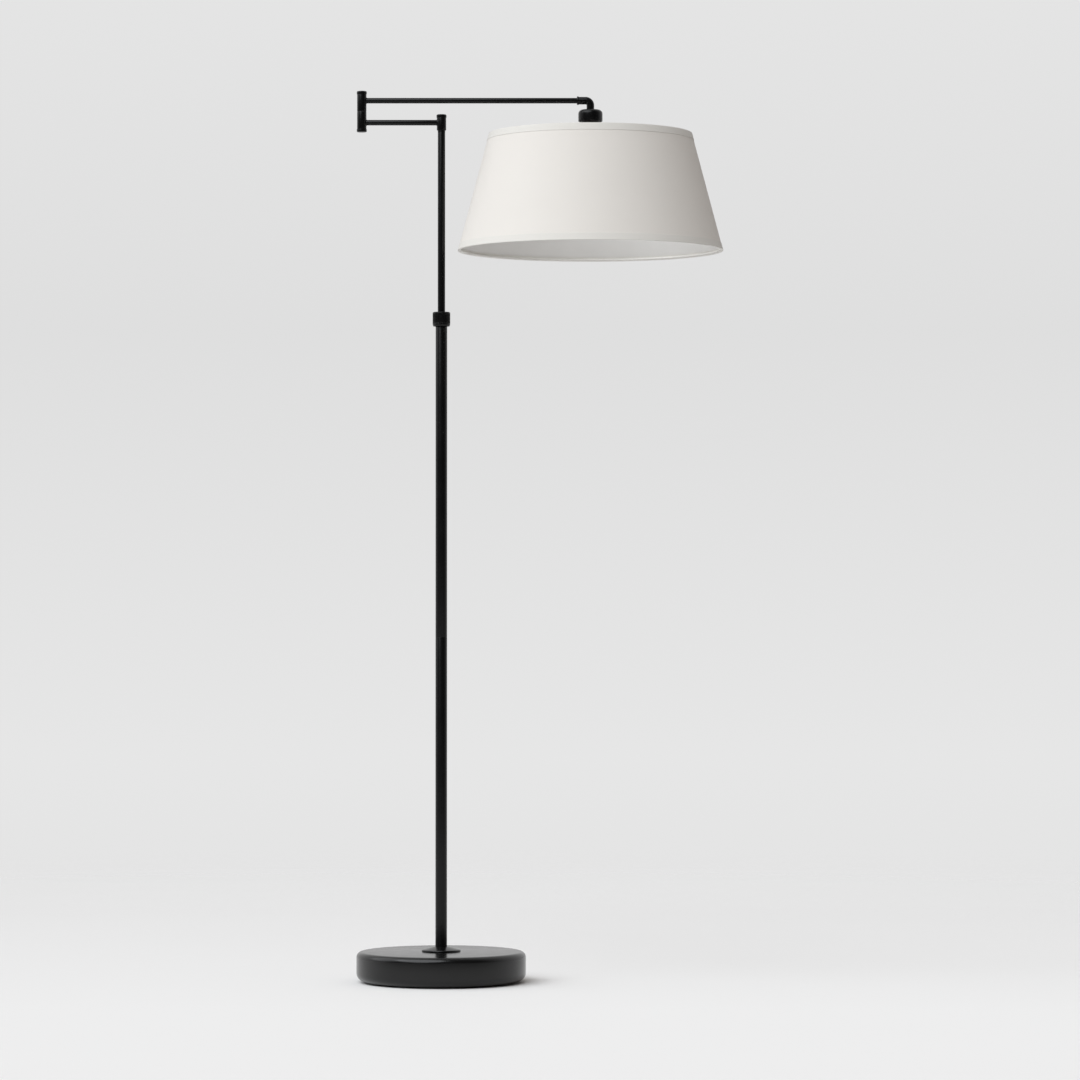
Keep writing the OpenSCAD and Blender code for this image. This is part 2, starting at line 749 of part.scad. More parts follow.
// Domed cap that hides the top of the lampholder
module head_cap() {
    r = head_cap_d / 2;
    c = [r - head_cap_round, head_top - head_cap_round];
    color([0.06, 0.06, 0.06]) translate([head_x, 0, 0]) rotate_extrude() polygon(concat(
        [[pipe_r + 2 * fit, head_top]],
        arc(c, head_cap_round, 90, 0),
        [[r, head_top - head_cap_h], [r - head_cap_wall, head_top - head_cap_h]],
        arc(c, head_cap_round - head_cap_wall, 0, 90),
        [[pipe_r + 2 * fit, head_top - head_cap_wall]]
    ));
}

module lampholder() {
    neck_r = pipe_r + holder_neck_wall;
    color([0.04, 0.04, 0.04]) translate([head_x, 0, 0]) difference() {
        rotate_extrude() polygon([
            [0, holder_top], [neck_r, holder_top], [neck_r, holder_top - holder_neck],
            [holder_r, holder_top - holder_neck - holder_slope],
            [holder_r, holder_flange_z + flange_t], [holder_flange_r, holder_flange_z + flange_t],
            [holder_flange_r, holder_flange_z], [holder_r, holder_flange_z],
            [holder_r, holder_end], [holder_bore_r, holder_end],
            [holder_bore_r, holder_bore_top], [0, holder_bore_top]
        ]);
        rod_z(pipe_r + fit, holder_top - nipple_grip - fit, holder_top + over);
        rod_z(lead_r + free, holder_top - nipple_grip - lead_tail - lead_room, holder_top);
        translate([0, 0, switch_z]) rotate([90, 0, 0]) {
            cylinder(r = switch_shaft_r + slide, h = holder_r + over);
            translate([0, 0, holder_r - bushing_seat])
                cylinder(r = switch_bushing_r + fit, h = bushing_seat + over);
        }
    }
}

module screw_shell() {
    color("gold") translate([head_x, 0, 0])
        tube(shell_bore_r + shell_t, shell_bore_r, holder_end + shell_inset, holder_flange_z + shell_rise);
}

module centre_contact() {
    color("gold") translate([head_x, 0, 0]) rod_z(contact_r, holder_bore_top - contact_t, holder_bore_top);
}

module ring_nut() {
    bottom = fitter_z - ring_nut_h;
    color([0.05, 0.05, 0.05]) translate([head_x, 0, 0]) difference() {
        tube(ring_nut_r, holder_r + fit, bottom, fitter_z);
        flutes(ring_flutes, ring_nut_r + ring_flute_r / 2, ring_flute_r, bottom - over, fitter_z - ring_lip);
    }
}

module bulb_base() {
    cone_z = bulb_neck_z + bulb_base_h - bulb_cone_h;
    color("silver") translate([head_x, 0, 0]) {
        rod_z(bulb_base_d / 2, bulb_neck_z, cone_z);
        translate([0, 0, cone_z]) cylinder(r1 = bulb_base_d / 2, r2 = bulb_cone_r, h = bulb_cone_h);
        rod_z(bulb_tip_r, bulb_tip_z - bulb_tip_h, bulb_tip_z);
    }
}

// Outline of the globe drawn at a given distance in from its surface
module bulb_solid(inset) {
    r = bulb_r - inset;
    neck = bulb_neck_r - inset;
    rise = bulb_neck_z - bulb_centre_z;
    reach = sqrt(rise * rise + neck * neck);
    a = atan2(rise, neck) - acos(r / reach);
    rotate_extrude() polygon(concat(
        [[0, bulb_centre_z + rise], [neck, bulb_centre_z + rise]],
        [for (i = [0 : 3 * arc_steps]) let (t = a - (a + 90) * i / (3 * arc_steps))
            [i == 3 * arc_steps ? 0 : r * cos(t), bulb_centre_z + r * sin(t)]]
    ));
}

module bulb_globe() {
    color("white") translate([head_x, 0, 0]) difference() {
        bulb_solid(0);
        bulb_solid(glass_t);
    }
}

// Turn switch on the side of the lampholder
module switch_bushing() {
    color("goldenrod") translate([head_x, 0, switch_z]) rotate([90, 0, 0])
        tube(switch_bushing_r, switch_shaft_r + slide, holder_r - bushing_seat, holder_r + bushing_proud);
}

module switch_shaft() {
    color("goldenrod") translate([head_x, 0, switch_z]) rotate([90, 0, 0])
        rod_z(switch_shaft_r, holder_r - shaft_seat, knob_y + shaft_grip);
}

module switch_knob() {
    tip = knob_y + knob_len;
    color([0.05, 0.05, 0.05]) translate([head_x, 0, switch_z]) rotate([90, 0, 0]) difference() {
        rotate_extrude($fn = 48) polygon(concat(
            [[0, knob_y], [knob_r - knob_taper - knob_foot, knob_y]],
            [[knob_r - knob_taper, knob_y + knob_foot]],
            arc([knob_r - knob_round, tip - knob_round], knob_round, 0, 90),
            [[0, tip]]
        ));
        rod_z(switch_shaft_r + fit, knob_y - over, knob_y + shaft_grip + fit);
        flutes(knob_flutes, knob_r + knob_flute_r / 2, knob_flute_r, knob_y + knob_skirt, tip + over);
    }
}

module long_arm_lead() {
    color([0.03, 0.03, 0.03]) {
        translate([pivot_x, 0, 0]) rod_z(lead_r, elbow_split, long_z - lead_bend);
        quarter_bend(lead_r, lead_bend, pivot_x + lead_bend, long_z - lead_bend, 90);
        rod_x(lead_r, pivot_x + lead_bend, head_x - elbow_bend, long_z);
        quarter_bend(lead_r, elbow_bend, head_x - elbow_bend, long_z - elbow_bend, 0);
        translate([head_x, 0, 0]) rod_z(lead_r, holder_top - nipple_grip - lead_tail, long_z - elbow_bend);
    }
}

// Shade: centre ring on three spokes, rim wires, laminated cone with a lap seam, and hems
module shade_fitter() {
    rim_z = shade_top - wire_r - wire_inset;
    rim_r = wire_ring_r(rim_z) - wire_r - fit;
    hub_r = fitter_d / 2 - spoke_inset;
    hub_z = fitter_z + fitter_t / 2;
    rise = rim_z - hub_z;
    reach = rim_r - hub_r;
    color("white") translate([head_x, 0, 0]) {
        difference() {
            union() {
                rod_z(fitter_d / 2, fitter_z, fitter_z + fitter_t);
                for (i = [0 : spoke_count - 1]) rotate([0, 0, spoke_turn + i * 360 / spoke_count])
                    translate([hub_r, 0, hub_z]) rotate([0, 90 - atan2(rise, reach), 0])
                        cylinder(r = spoke_r, h = sqrt(rise * rise + reach * reach));
            }
            rod_z(holder_r + 2 * fit, fitter_z - over, fitter_z + fitter_t + over);
        }
    }
}

module rim_wire(z) {
    translate([head_x, 0, z]) rotate_extrude($fn = 180)
        translate([wire_ring_r(z), 0]) circle(r = wire_r, $fn = 32);
}

module shade_top_wire() {
    color("white") rim_wire(shade_top - wire_r - wire_inset);
}

module shade_bottom_wire() {
    color("white") rim_wire(shade_bottom + wire_r + wire_inset);
}

// Ring between two distances from the shade's outer surface, from height z0 to z1
module cone_band(d0, d1, z0, z1, angle = 360) {
    rotate_extrude(angle = angle, $fn = 180) polygon([
        [shade_r(z0) + d0, z0], [shade_r(z0) + d1, z0], [shade_r(z1) + d1, z1], [shade_r(z1) + d0, z1]
    ]);
}

module shade_cone() {
    color([0.93, 0.92, 0.89]) translate([head_x, 0, 0]) {
        cone_band(-shade_wall, 0, shade_bottom + hem_t, shade_top - hem_t);
        rotate([0, 0, seam_side - seam_angle / 2])
            cone_band(-shade_wall / 2, seam_t, shade_bottom + hem_h + hem_t, shade_top - hem_h - hem_t,
                seam_angle);
    }
}

// Folded hem: a band outside the cone that turns over its edge
module hem(z_edge, z_band) {
    inner = min(z_edge, z_band);
    outer = max(z_edge, z_band);
    lip = z_edge > z_band ? z_edge - hem_t + fit : z_edge + hem_t - fit;
    translate([head_x, 0, 0]) {
        cone_band(fit, hem_t, inner, outer);
        cone_band(-shade_wall, hem_t, min(z_edge, lip), max(z_edge, lip));
    }
}

module shade_top_hem() {
    color([0.90, 0.89, 0.86]) hem(shade_top, shade_top - hem_h);
}

module shade_bottom_hem() {
    color([0.90, 0.89, 0.86]) hem(shade_bottom, shade_bottom + hem_h);
}

felt_pad();
bottom_plate();
plate_screws();
base_weight();
base_shell();
cord_gland();
stem_pipe();
stem_washer();
stem_nut();
pole_flange();
foot_bush();
lower_tube_bottom();
tube_coupling();
lower_tube_top();
lock_body();
lock_collet();
lock_nut();
mast_tube();
guide_bush();
mast_spindle();
mast_washer();
mast_spring_washer();
mast_nut();
mast_lead();
swivel_barrel();
swivel_cap();
short_arm_tube();
lower_knuckle();
lower_knuckle_cap();
elbow_spindle();
elbow_washer();
elbow_spring_washer();
elbow_nut();
short_arm_lead();
upper_knuckle();
upper_knuckle_cap();
long_arm_tube();
end_elbow();
head_nipple();
head_nut();
head_cap();
lampholder();
screw_shell();
centre_contact();
ring_nut();
bulb_base();
bulb_globe();
switch_bushing();
switch_shaft();
switch_knob();
long_arm_lead();
shade_fitter();
shade_top_wire();
shade_bottom_wire();
shade_cone();
shade_top_hem();
shade_bottom_hem();
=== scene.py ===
import math

import bmesh
import bpy
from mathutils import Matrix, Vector


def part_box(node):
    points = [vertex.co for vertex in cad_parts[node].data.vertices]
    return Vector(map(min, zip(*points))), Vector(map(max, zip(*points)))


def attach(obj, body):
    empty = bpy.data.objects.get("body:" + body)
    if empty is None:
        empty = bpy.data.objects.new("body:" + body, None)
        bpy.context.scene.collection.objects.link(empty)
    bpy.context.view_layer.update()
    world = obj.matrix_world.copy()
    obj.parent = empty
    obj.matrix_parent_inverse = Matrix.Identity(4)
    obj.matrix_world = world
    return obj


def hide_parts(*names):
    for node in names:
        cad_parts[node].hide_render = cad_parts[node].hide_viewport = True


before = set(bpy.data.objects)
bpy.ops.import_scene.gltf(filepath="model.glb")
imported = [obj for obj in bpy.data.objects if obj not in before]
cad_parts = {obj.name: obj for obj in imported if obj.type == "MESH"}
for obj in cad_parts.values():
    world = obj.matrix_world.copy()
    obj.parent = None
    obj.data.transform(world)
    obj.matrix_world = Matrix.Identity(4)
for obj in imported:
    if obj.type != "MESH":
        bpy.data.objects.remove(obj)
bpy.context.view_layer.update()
mm = 0.001
print("frame loaded:", len(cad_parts), "nodes")


# Camera and studio

view = {
    "place": (0.168, -7.3, 0.630),   # the lamp stands 7.3 m away
    "aim": (0.168, 0.0, 0.752),
    "lens": 142.9,
}


def makeCamera():
    camera = bpy.data.objects.new("camera", bpy.data.cameras.new("camera"))
    bpy.context.scene.collection.objects.link(camera)
    camera.location = view["place"]
    gaze = Vector(view["aim"]) - camera.location
    camera.rotation_euler = gaze.to_track_quat("-Z", "Y").to_euler()
    camera.data.lens = view["lens"]
    camera.data.sensor_width = 36
    camera.data.clip_end = 200
    bpy.context.scene.camera = camera


makeCamera()
bpy.context.scene.view_settings.view_transform = "Standard"


# Shader maths: a socket with the usual operators, and a recipe that adds the nodes

class Value:
    def __init__(self, recipe, node, output=0):
        self.recipe = recipe
        self.node = node
        self.socket = node.outputs[output] if node.outputs else None

    def output(self, name):
        return Value(self.recipe, self.node, name)

    def maths(self, operation, first, second):
        return self.recipe.maths(operation, first, second)

    def __add__(self, other):
        return self.maths("ADD", self, other)

    def __radd__(self, other):
        return self.maths("ADD", other, self)

    def __sub__(self, other):
        return self.maths("SUBTRACT", self, other)

    def __rsub__(self, other):
        return self.maths("SUBTRACT", other, self)

    def __mul__(self, other):
        return self.maths("MULTIPLY", self, other)


class Recipe:
    def __init__(self, owner):
        owner.use_nodes = True
        self.owner = owner
        self.tree = owner.node_tree
        self.tree.nodes.clear()

    def add(self, kind, settings=None, sockets=None, output=0):
        node = self.tree.nodes.new(kind)
        for key, setting in (settings or {}).items():
            if key == "stops":
                while len(node.color_ramp.elements) < len(setting):
                    node.color_ramp.elements.new(0.5)
                for element, (position, level) in zip(node.color_ramp.elements, setting):
                    element.position = position
                    element.color = (level, level, level, 1)
            else:
                setattr(node, key, setting)
        for key, given in (sockets or {}).items():
            if isinstance(given, Value):
                self.tree.links.new(given.socket, node.inputs[key])
            elif isinstance(given, tuple) and len(given) == 3 and node.inputs[key].type == "RGBA":
                node.inputs[key].default_value = (*given, 1)
            else:
                node.inputs[key].default_value = given
        return Value(self, node, output)

    def maths(self, operation, first, second=0.5):
        return self.add("ShaderNodeMath", {"operation": operation}, {0: first, 1: second})

    def mix(self, share, first, second):
        return self.add("ShaderNodeMix", {"data_type": "RGBA"}, {0: share, 6: first, 7: second}, 2)

    def part(self, vector, axis):
        return self.add("ShaderNodeSeparateXYZ", None, {0: vector}, axis)

    def ramp(self, value, first, last, curve="LINEAR"):
        # rises from 0 to 1 while the value goes from first to last
        return self.add("ShaderNodeMapRange", {"interpolation_type": curve}, {
            "Value": value,
            "From Min": first,
            "From Max": last,
        })

    def place(self, output="Object", scale=(1, 1, 1), turn=(0, 0, 0), centre=(0, 0, 0)):
        source = self.add("ShaderNodeTexCoord", output=output)
        return self.add("ShaderNodeMapping", {"vector_type": "TEXTURE"}, {
            "Vector": source,
            "Location": centre,
            "Rotation": turn,
            "Scale": tuple(1 / part for part in scale),
        })

    def noise(self, where, scale, detail=2.0, roughness=0.5):
        return self.add("ShaderNodeTexNoise", None, {
            "Vector": where,
            "Scale": scale,
            "Detail": detail,
            "Roughness": roughness,
        })

    def bump(self, height, strength, distance):
        return self.add("ShaderNodeBump", None, {
            "Height": height,
            "Strength": strength,
            "Distance": distance,
        })

    def finish(self, shader):
        self.add("ShaderNodeOutputMaterial", None, {"Surface": shader})
        return self.owner

    def surface(self, sockets):
        return self.finish(self.add("ShaderNodeBsdfPrincipled", None, sockets))


def newRecipe(name):
    return Recipe(bpy.data.materials.new(name))


# Studio: a soft key from the front left, a soft second lamp from the left, even fill from all round,
# and a pale floor that fades into the backdrop

studio = {
    "lamps": {
        # where from, strength, width in degrees seen from the object
        "key": ((-0.40, -0.58, 0.72), 2.30, 58),
        "side": ((-1.0, 0.04, 0.70), 0.69, 50),
    },
    "lampColour": (0.965, 1.0, 1.03),
    "fill": (0.190, 0.173, 0.162),
    "overhead": (0.465, 0.437, 0.415),
    "backdrop": 0.755,
    "band": (-0.10, 0.20),        # rise of the line of sight, from where to where the backdrop changes
    # place in that band and share of the backdrop's level
    "bandGlow": ((0.08, 1.02), (0.22, 1.05), (0.55, 0.975), (0.85, 1.04)),
    "dimHalf": (-0.55, 0.35),     # depth of a mirrored direction, from the room's dim half to the backdrop
    "roomGloss": 0.04,            # what gloss sees of the dim half, in front of the lamp
    # near and far floor colours: the darker far one is painted shade
    "floorNear": (0.872, 0.872, 0.872),
    "floorFar": (0.808, 0.808, 0.808),
    "floorPaintedShade": (-0.5, 1.7),    # metres of depth, from the near to the far colour; painted shade, the floor grows darker towards the back
    "floorMottle": (3.0, 0.06),   # scale and strength
    "floorSolid": 1.2,            # metres, radius of the floor that stays solid
    "floorFade": 4.2,             # metres, radius where it has gone
    "floorSize": 12.0,
}


def makeWorld():
    world = bpy.data.worlds.new("studio")
    bpy.context.scene.world = world
    recipe = Recipe(world)
    direction = recipe.add("ShaderNodeTexCoord", output="Generated")
    height = recipe.part(direction, "Z")
    glow = recipe.add("ShaderNodeValToRGB", {
        "stops": [(position, studio["backdrop"] * share) for position, share in studio["bandGlow"]],
    }, {"Fac": recipe.ramp(height, *studio["band"])})
    behind = recipe.ramp(recipe.part(direction, "Y"), *studio["dimHalf"], curve="SMOOTHSTEP")
    path = recipe.add("ShaderNodeLightPath", output="Is Camera Ray")
    dim = studio["roomGloss"]
    mirrored = recipe.mix(behind, (dim, dim, dim), glow)
    backdrop = recipe.mix(path.output("Is Glossy Ray"), glow, mirrored)
    shown = recipe.add("ShaderNodeBackground", None, {"Color": backdrop, "Strength": 1.0})
    above = recipe.mix(height, studio["fill"], studio["overhead"])
    light = recipe.add("ShaderNodeBackground", None, {"Color": above, "Strength": 1.0})
    seen = path + path.output("Is Glossy Ray") + path.output("Is Transmission Ray")
    both = recipe.add("ShaderNodeMixShader", None, {0: seen, 1: light, 2: shown})
    recipe.add("ShaderNodeOutputWorld", None, {"Surface": both})


def makeLamps():
    for name, (source, strength, width) in studio["lamps"].items():
        sun = bpy.data.lights.new(name, "SUN")
        sun.energy = strength
        sun.angle = math.radians(width)
        sun.color = studio["lampColour"]
        lamp = bpy.data.objects.new(name, sun)
        bpy.context.scene.collection.objects.link(lamp)
        lamp.rotation_euler = Vector(source).to_track_quat("Z", "Y").to_euler()


def makeFloor():
    deselectAll()
    bpy.ops.mesh.primitive_circle_add(vertices=96, radius=studio["floorSize"], fill_type="NGON")
    floor = bpy.context.object
    floor.name = "floor"
    bpy.ops.object.mode_set(mode="EDIT")
    bpy.ops.mesh.inset(thickness=studio["floorSize"] - studio["floorFade"])
    bpy.ops.object.mode_set(mode="OBJECT")
    recipe = newRecipe("floor")
    where = recipe.place()
    distance = recipe.add("ShaderNodeVectorMath", {"operation": "LENGTH"}, {0: where}, "Value")
    share = recipe.ramp(distance, studio["floorSolid"], studio["floorFade"], "SMOOTHERSTEP")
    # painted shade: the floor's colour grows darker towards the back, with a random mottle on top
    back = recipe.ramp(recipe.part(where, "Y"), *studio["floorPaintedShade"])
    scale, strength = studio["floorMottle"]
    shade = back + recipe.noise(where, scale) * strength
    body = recipe.add("ShaderNodeBsdfPrincipled", None, {
        "Base Color": recipe.mix(shade, studio["floorNear"], studio["floorFar"]),
        "Roughness": 0.75,
        "Specular IOR Level": 0.2,
    })
    clear = recipe.add("ShaderNodeBsdfTransparent")
    shader = recipe.add("ShaderNodeMixShader", None, {0: share, 1: body, 2: clear})
    floor.data.materials.append(recipe.finish(shader))


# Modelling helpers

alongX = (0, math.pi / 2, 0)
alongY = (math.pi / 2, 0, 0)
crisp = 0.2 * mm      # rounding of a sharp, an eased and a soft edge
eased = 0.3 * mm
soft = 0.5 * mm
fillets = {
    "broad": 1.2 * mm,        # from here on a fillet gets the larger number of segments
    "segments": (3, 8),
    "level": 0.02 * mm,       # how far a vertex may lie from its ring's height
    "near": 0.03 * mm,        # and from its radius, or else this share of the radius
    "nearShare": 0.004,
}


def deselectAll():
    if bpy.context.mode != "OBJECT":
        bpy.ops.object.mode_set(mode="OBJECT")
    bpy.ops.object.select_all(action="DESELECT")


def pick(piece):
    deselectAll()
    piece.select_set(True)
    bpy.context.view_layer.objects.active = piece


def edit(piece):
    pick(piece)
    bpy.ops.object.mode_set(mode="EDIT")
    bpy.ops.mesh.select_all(action="DESELECT")


def choose(kind, test):
    # selects what passes the test in the mesh that is being edited
    mesh = bmesh.from_edit_mesh(bpy.context.object.data)
    bpy.ops.mesh.select_mode(type={"verts": "VERT", "edges": "EDGE", "faces": "FACE"}[kind])
    bpy.ops.mesh.select_all(action="DESELECT")
    found = 0
    for part in getattr(mesh, kind):
        if test(part):
            part.select_set(True)
            found += 1
    mesh.select_flush_mode()
    bmesh.update_edit_mesh(bpy.context.object.data)
    return found


def smooth(piece, angle=32):
    pick(piece)
    bpy.ops.object.shade_smooth_by_angle(angle=math.radians(angle))


def place(piece, turn=(0, 0, 0), to=(0, 0, 0)):
    pick(piece)
    piece.rotation_euler = [math.radians(angle) for angle in turn]
    piece.location = to
    bpy.ops.object.transform_apply(location=True, rotation=True, scale=True)


def joined(name, parts):
    deselectAll()
    for part in parts:
        part.select_set(True)
    bpy.context.view_layer.objects.active = parts[0]
    bpy.ops.object.join()
    parts[0].name = name
    return parts[0]


def drilled(piece, radius, depth, turn, centre):
    # takes a round bar out of the piece
    deselectAll()
    bpy.ops.mesh.primitive_cylinder_add(
        vertices=48, radius=radius, depth=depth, rotation=turn, location=centre)
    drill = bpy.context.object
    pick(piece)
    change = piece.modifiers.new("hole", "BOOLEAN")
    change.operation = "DIFFERENCE"
    change.solver = "EXACT"
    change.object = drill
    bpy.ops.object.modifier_apply(modifier=change.name)
    bpy.data.objects.remove(drill)


def offAxis(point, at):
    return math.hypot(point.x - at[0], point.y - at[1])


def roundRing(radius, height, at, fillet):
    # rounds one ring of edges of the turned piece that is being edited
    near = max(radius * fillets["nearShare"], fillets["near"])

    def inRing(vert):
        return abs(vert.co.z - height) < fillets["level"] and abs(offAxis(vert.co, at) - radius) < near

    choose("edges", lambda edge: all(inRing(vert) for vert in edge.verts))
    segments = fillets["segments"][0 if fillet < fillets["broad"] else 1]
    bpy.ops.mesh.bevel(offset=fillet, segments=segments, profile=0.5, affect="EDGES", clamp_overlap=False)


def turned(name, outline, at=(0, 0), sides=72, closed=True):
    # outline holds (radius, height, fillet) round the section, and closed joins the last ring to the first
    radius, height, _ = outline[0]
    deselectAll()
    bpy.ops.mesh.primitive_circle_add(vertices=sides, radius=radius, location=(at[0], at[1], height))
    piece = bpy.context.object
    piece.name = name
    bpy.ops.object.transform_apply(location=True)
    bpy.ops.object.mode_set(mode="EDIT")
    for nextRadius, nextHeight, _ in outline[1:]:
        bpy.ops.mesh.extrude_region_move(TRANSFORM_OT_translate={"value": (0, 0, nextHeight - height)})
        grow = nextRadius / radius
        bpy.ops.transform.resize(value=(grow, grow, 1), center_override=(at[0], at[1], nextHeight))
        radius = nextRadius
        height = nextHeight
    bpy.ops.mesh.select_mode(type="EDGE")
    bpy.ops.mesh.select_all(action="DESELECT")
    bpy.ops.mesh.select_non_manifold()
    if closed:
        bpy.ops.mesh.bridge_edge_loops()
    else:
        bpy.ops.mesh.select_all(action="SELECT")
        bpy.ops.mesh.fill_holes(sides=0)
    for radius, height, fillet in outline:
        if fillet:
            roundRing(radius, height, at, fillet)
    bpy.ops.mesh.select_all(action="SELECT")
    bpy.ops.mesh.normals_make_consistent(inside=False)
    bpy.ops.object.mode_set(mode="OBJECT")
    smooth(piece)
    return piece


def steps(first, last, count):
    return [first + (last - first) * index / count for index in range(count + 1)]


def straight(radius, first, last, count):
    # a straight wall in rows, as a stretch of an outline
    return [(radius, height, 0) for height in steps(first, last, count)]


def flipped(outline, bottom, top):
    # the outline upside down between two heights
    return [(radius, top + bottom - height, fillet) for radius, height, fillet in outline]


def turnShare(point, at):
    # how far round the axis a point lies, as a share of a full turn
    return math.atan2(point.y - at[1], point.x - at[0]) / (2 * math.pi)


def grooved(piece, at, count, sides, width, depth, low, high, inner):
    # presses round grooves, width columns of vertices to each side, into the outer wall
    edit(piece)
    columns = sides // count
    for step in range(-width, width + 1):
        press = depth * (1 - (step / (width + 1)) ** 2)

        def inColumn(vert):
            if not (low < vert.co.z < high and offAxis(vert.co, at) > inner):
                return False
            column = round(turnShare(vert.co, at) * sides) % columns
            return (column if column <= columns // 2 else column - columns) == step

        if not choose("verts", inColumn):
            continue
        mesh = bmesh.from_edit_mesh(piece.data)
        radius = max(offAxis(vert.co, at) for vert in mesh.verts if vert.select)
        shrink = (radius - press) / radius
        bpy.ops.transform.resize(value=(shrink, shrink, 1), center_override=(at[0], at[1], low))
    bpy.ops.object.mode_set(mode="OBJECT")


def threaded(piece, at, low, high, pitch, depth, inner):
    # a round thread: the wall dips once a pitch, further round at each height
    for vert in piece.data.vertices:
        radius = offAxis(vert.co, at)
        if radius < inner or not low < vert.co.z < high:
            continue
        phase = (vert.co.z - low) / pitch - turnShare(vert.co, at)
        fade = min(1.0, (vert.co.z - low) / pitch, (high - vert.co.z) / pitch)
        shrink = (radius - depth * fade * (0.5 - 0.5 * math.cos(2 * math.pi * phase))) / radius
        vert.co.x = at[0] + (vert.co.x - at[0]) * shrink
        vert.co.y = at[1] + (vert.co.y - at[1]) * shrink


def saddled(piece, axisX, radius, side):
    # lets a ring round an arm follow the barrel that it is brazed to
    for vert in piece.data.vertices:
        vert.co.x += side * (math.sqrt(radius * radius - vert.co.y * vert.co.y) - radius)


def finished(piece, body, finish, *nodes):
    # gives a piece its material and the body that it rides, and hides the CAD nodes that it stands for
    piece.data.materials.clear()
    piece.data.materials.append(finishes[finish])
    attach(piece, body)
    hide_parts(*nodes)


def upright(node):
    # axis, radius, bottom and top of a round CAD node that stands on end
    low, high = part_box(node)
    return ((low.x + high.x) / 2, 0), (high.x - low.x) / 2, low.z, high.z


makeWorld()
makeLamps()
makeFloor()
print("studio ready")


# Finishes

enamel = {
    "colour": (0.0030, 0.0030, 0.0031),
    "worn": (0.0050, 0.0050, 0.0050),
    # roughness and specular level of the base, which is glossier, and of the tubes
    "baseGloss": (0.19, 0.40),
    "tubeGloss": (0.24, 0.24),
    "peel": 0.06,                 # strength of the orange peel
    "peelDepth": 0.05 * mm,
    # scales of the patterns
    "cloudScale": 38,
    "grainScale": 1500,
    "peelScale": 420,
    "streakScale": (900, 900, 6),
    "streakRange": (0.55, 0.72),
}


def blackEnamel(name, gloss, streaks=0.0):
    recipe = newRecipe(name)
    where = recipe.place()
    cloud = recipe.noise(where, enamel["cloudScale"], 3)
    grain = recipe.noise(where, enamel["grainScale"], 2)
    peel = recipe.noise(where, enamel["peelScale"], 1)
    roughness = gloss[0] + cloud * 0.08 - 0.04 + grain * 0.04
    if streaks:
        along = recipe.place(scale=enamel["streakScale"])
        rub = recipe.ramp(recipe.noise(along, 1.0, 3, 0.6), *enamel["streakRange"])
        roughness = roughness + rub * streaks
    return recipe.surface({
        "Base Color": recipe.mix(cloud, enamel["colour"], enamel["worn"]),
        "Roughness": roughness,
        "Specular IOR Level": gloss[1],
        "Normal": recipe.bump(peel * 0.85 + grain * 0.15, enamel["peel"], enamel["peelDepth"]),
    })


linen = {
    # the thread tops' colour, and a darker one for the painted shade between threads and a random mottle
    "light": (0.818, 0.790, 0.750),
    "gapShadeAndMottle": (0.758, 0.730, 0.690),
    "slub": (0.69, 0.66, 0.615),
    # the same pair for the hems: thread tops, and painted shade between threads with a random mottle
    "hemLight": (0.785, 0.77, 0.733),
    "hemGapShadeAndMottle": (0.72, 0.705, 0.668),
    "pitch": 0.55 * mm,      # from thread to thread
    "relief": 0.09 * mm,
    "swayScale": 90,
    "cloudScale": 14,
    "slubScale": (1300, 42),      # across and along a thread
    "slubRange": (0.60, 0.80),
}


def linenCloth(name, light, gapShadeAndMottle, slubbed=1.0):
    # plain weave on a UV map in metres: each thread is a rounded ridge that dives under its neighbour. The
    # gaps between threads are painted darker as shade, over a random mottle.
    recipe = newRecipe(name)
    cloth = recipe.add("ShaderNodeUVMap", {"uv_map": "cloth"})
    sway = recipe.noise(cloth, linen["swayScale"], 2)
    across = recipe.part(cloth, "X")
    along = across.output("Y")
    turn = 2 * math.pi / (2 * linen["pitch"])
    warpWave = recipe.maths("SINE", across * turn + sway * 2.2)
    weftWave = recipe.maths("SINE", along * turn + sway * 1.7)
    over = warpWave * weftWave * 0.5 + 0.5
    ridge = over * recipe.maths("ABSOLUTE", warpWave) + (1 - over) * recipe.maths("ABSOLUTE", weftWave)
    fine, coarse = linen["slubScale"]
    warpSlub = recipe.noise(recipe.place("UV", scale=(fine, coarse, 1)), 1.0, 2, 0.6)
    weftSlub = recipe.noise(recipe.place("UV", scale=(coarse, fine, 1)), 1.0, 2, 0.6)
    slubs = recipe.ramp(recipe.maths("MAXIMUM", warpSlub, weftSlub), *linen["slubRange"])
    cloud = recipe.noise(cloth, linen["cloudScale"], 3)
    # painted shade: the colour darkens where the ridges sink between threads; the cloud adds a random mottle
    base = recipe.mix(ridge * 0.75 + cloud * 0.35, gapShadeAndMottle, light)
    height = ridge + slubs * 0.8 * slubbed
    return recipe.surface({
        "Base Color": recipe.mix(slubs * 0.55 * slubbed, base, linen["slub"]),
        "Roughness": 0.88 + ridge * 0.08,
        "Specular IOR Level": 0.25,
        "Sheen Weight": 0.12,
        "Sheen Roughness": 0.5,
        "Normal": recipe.bump(height, 0.55, linen["relief"]),
    })


def plainFinish(name, colour, second, roughness, scale=180, relief=0.1, specular=0.5, coat=0.0):
    # one base colour that drifts to a second one, with a fine uneven surface
    recipe = newRecipe(name)
    where = recipe.place()
    grain = recipe.noise(where, scale * 9, 2)
    return recipe.surface({
        "Base Color": recipe.mix(recipe.noise(where, scale, 3), colour, second),
        "Roughness": roughness + grain * 0.12 - 0.06,
        "Specular IOR Level": specular,
        "Coat Weight": coat,
        "Normal": recipe.bump(grain, relief, 0.08 * mm),
    })


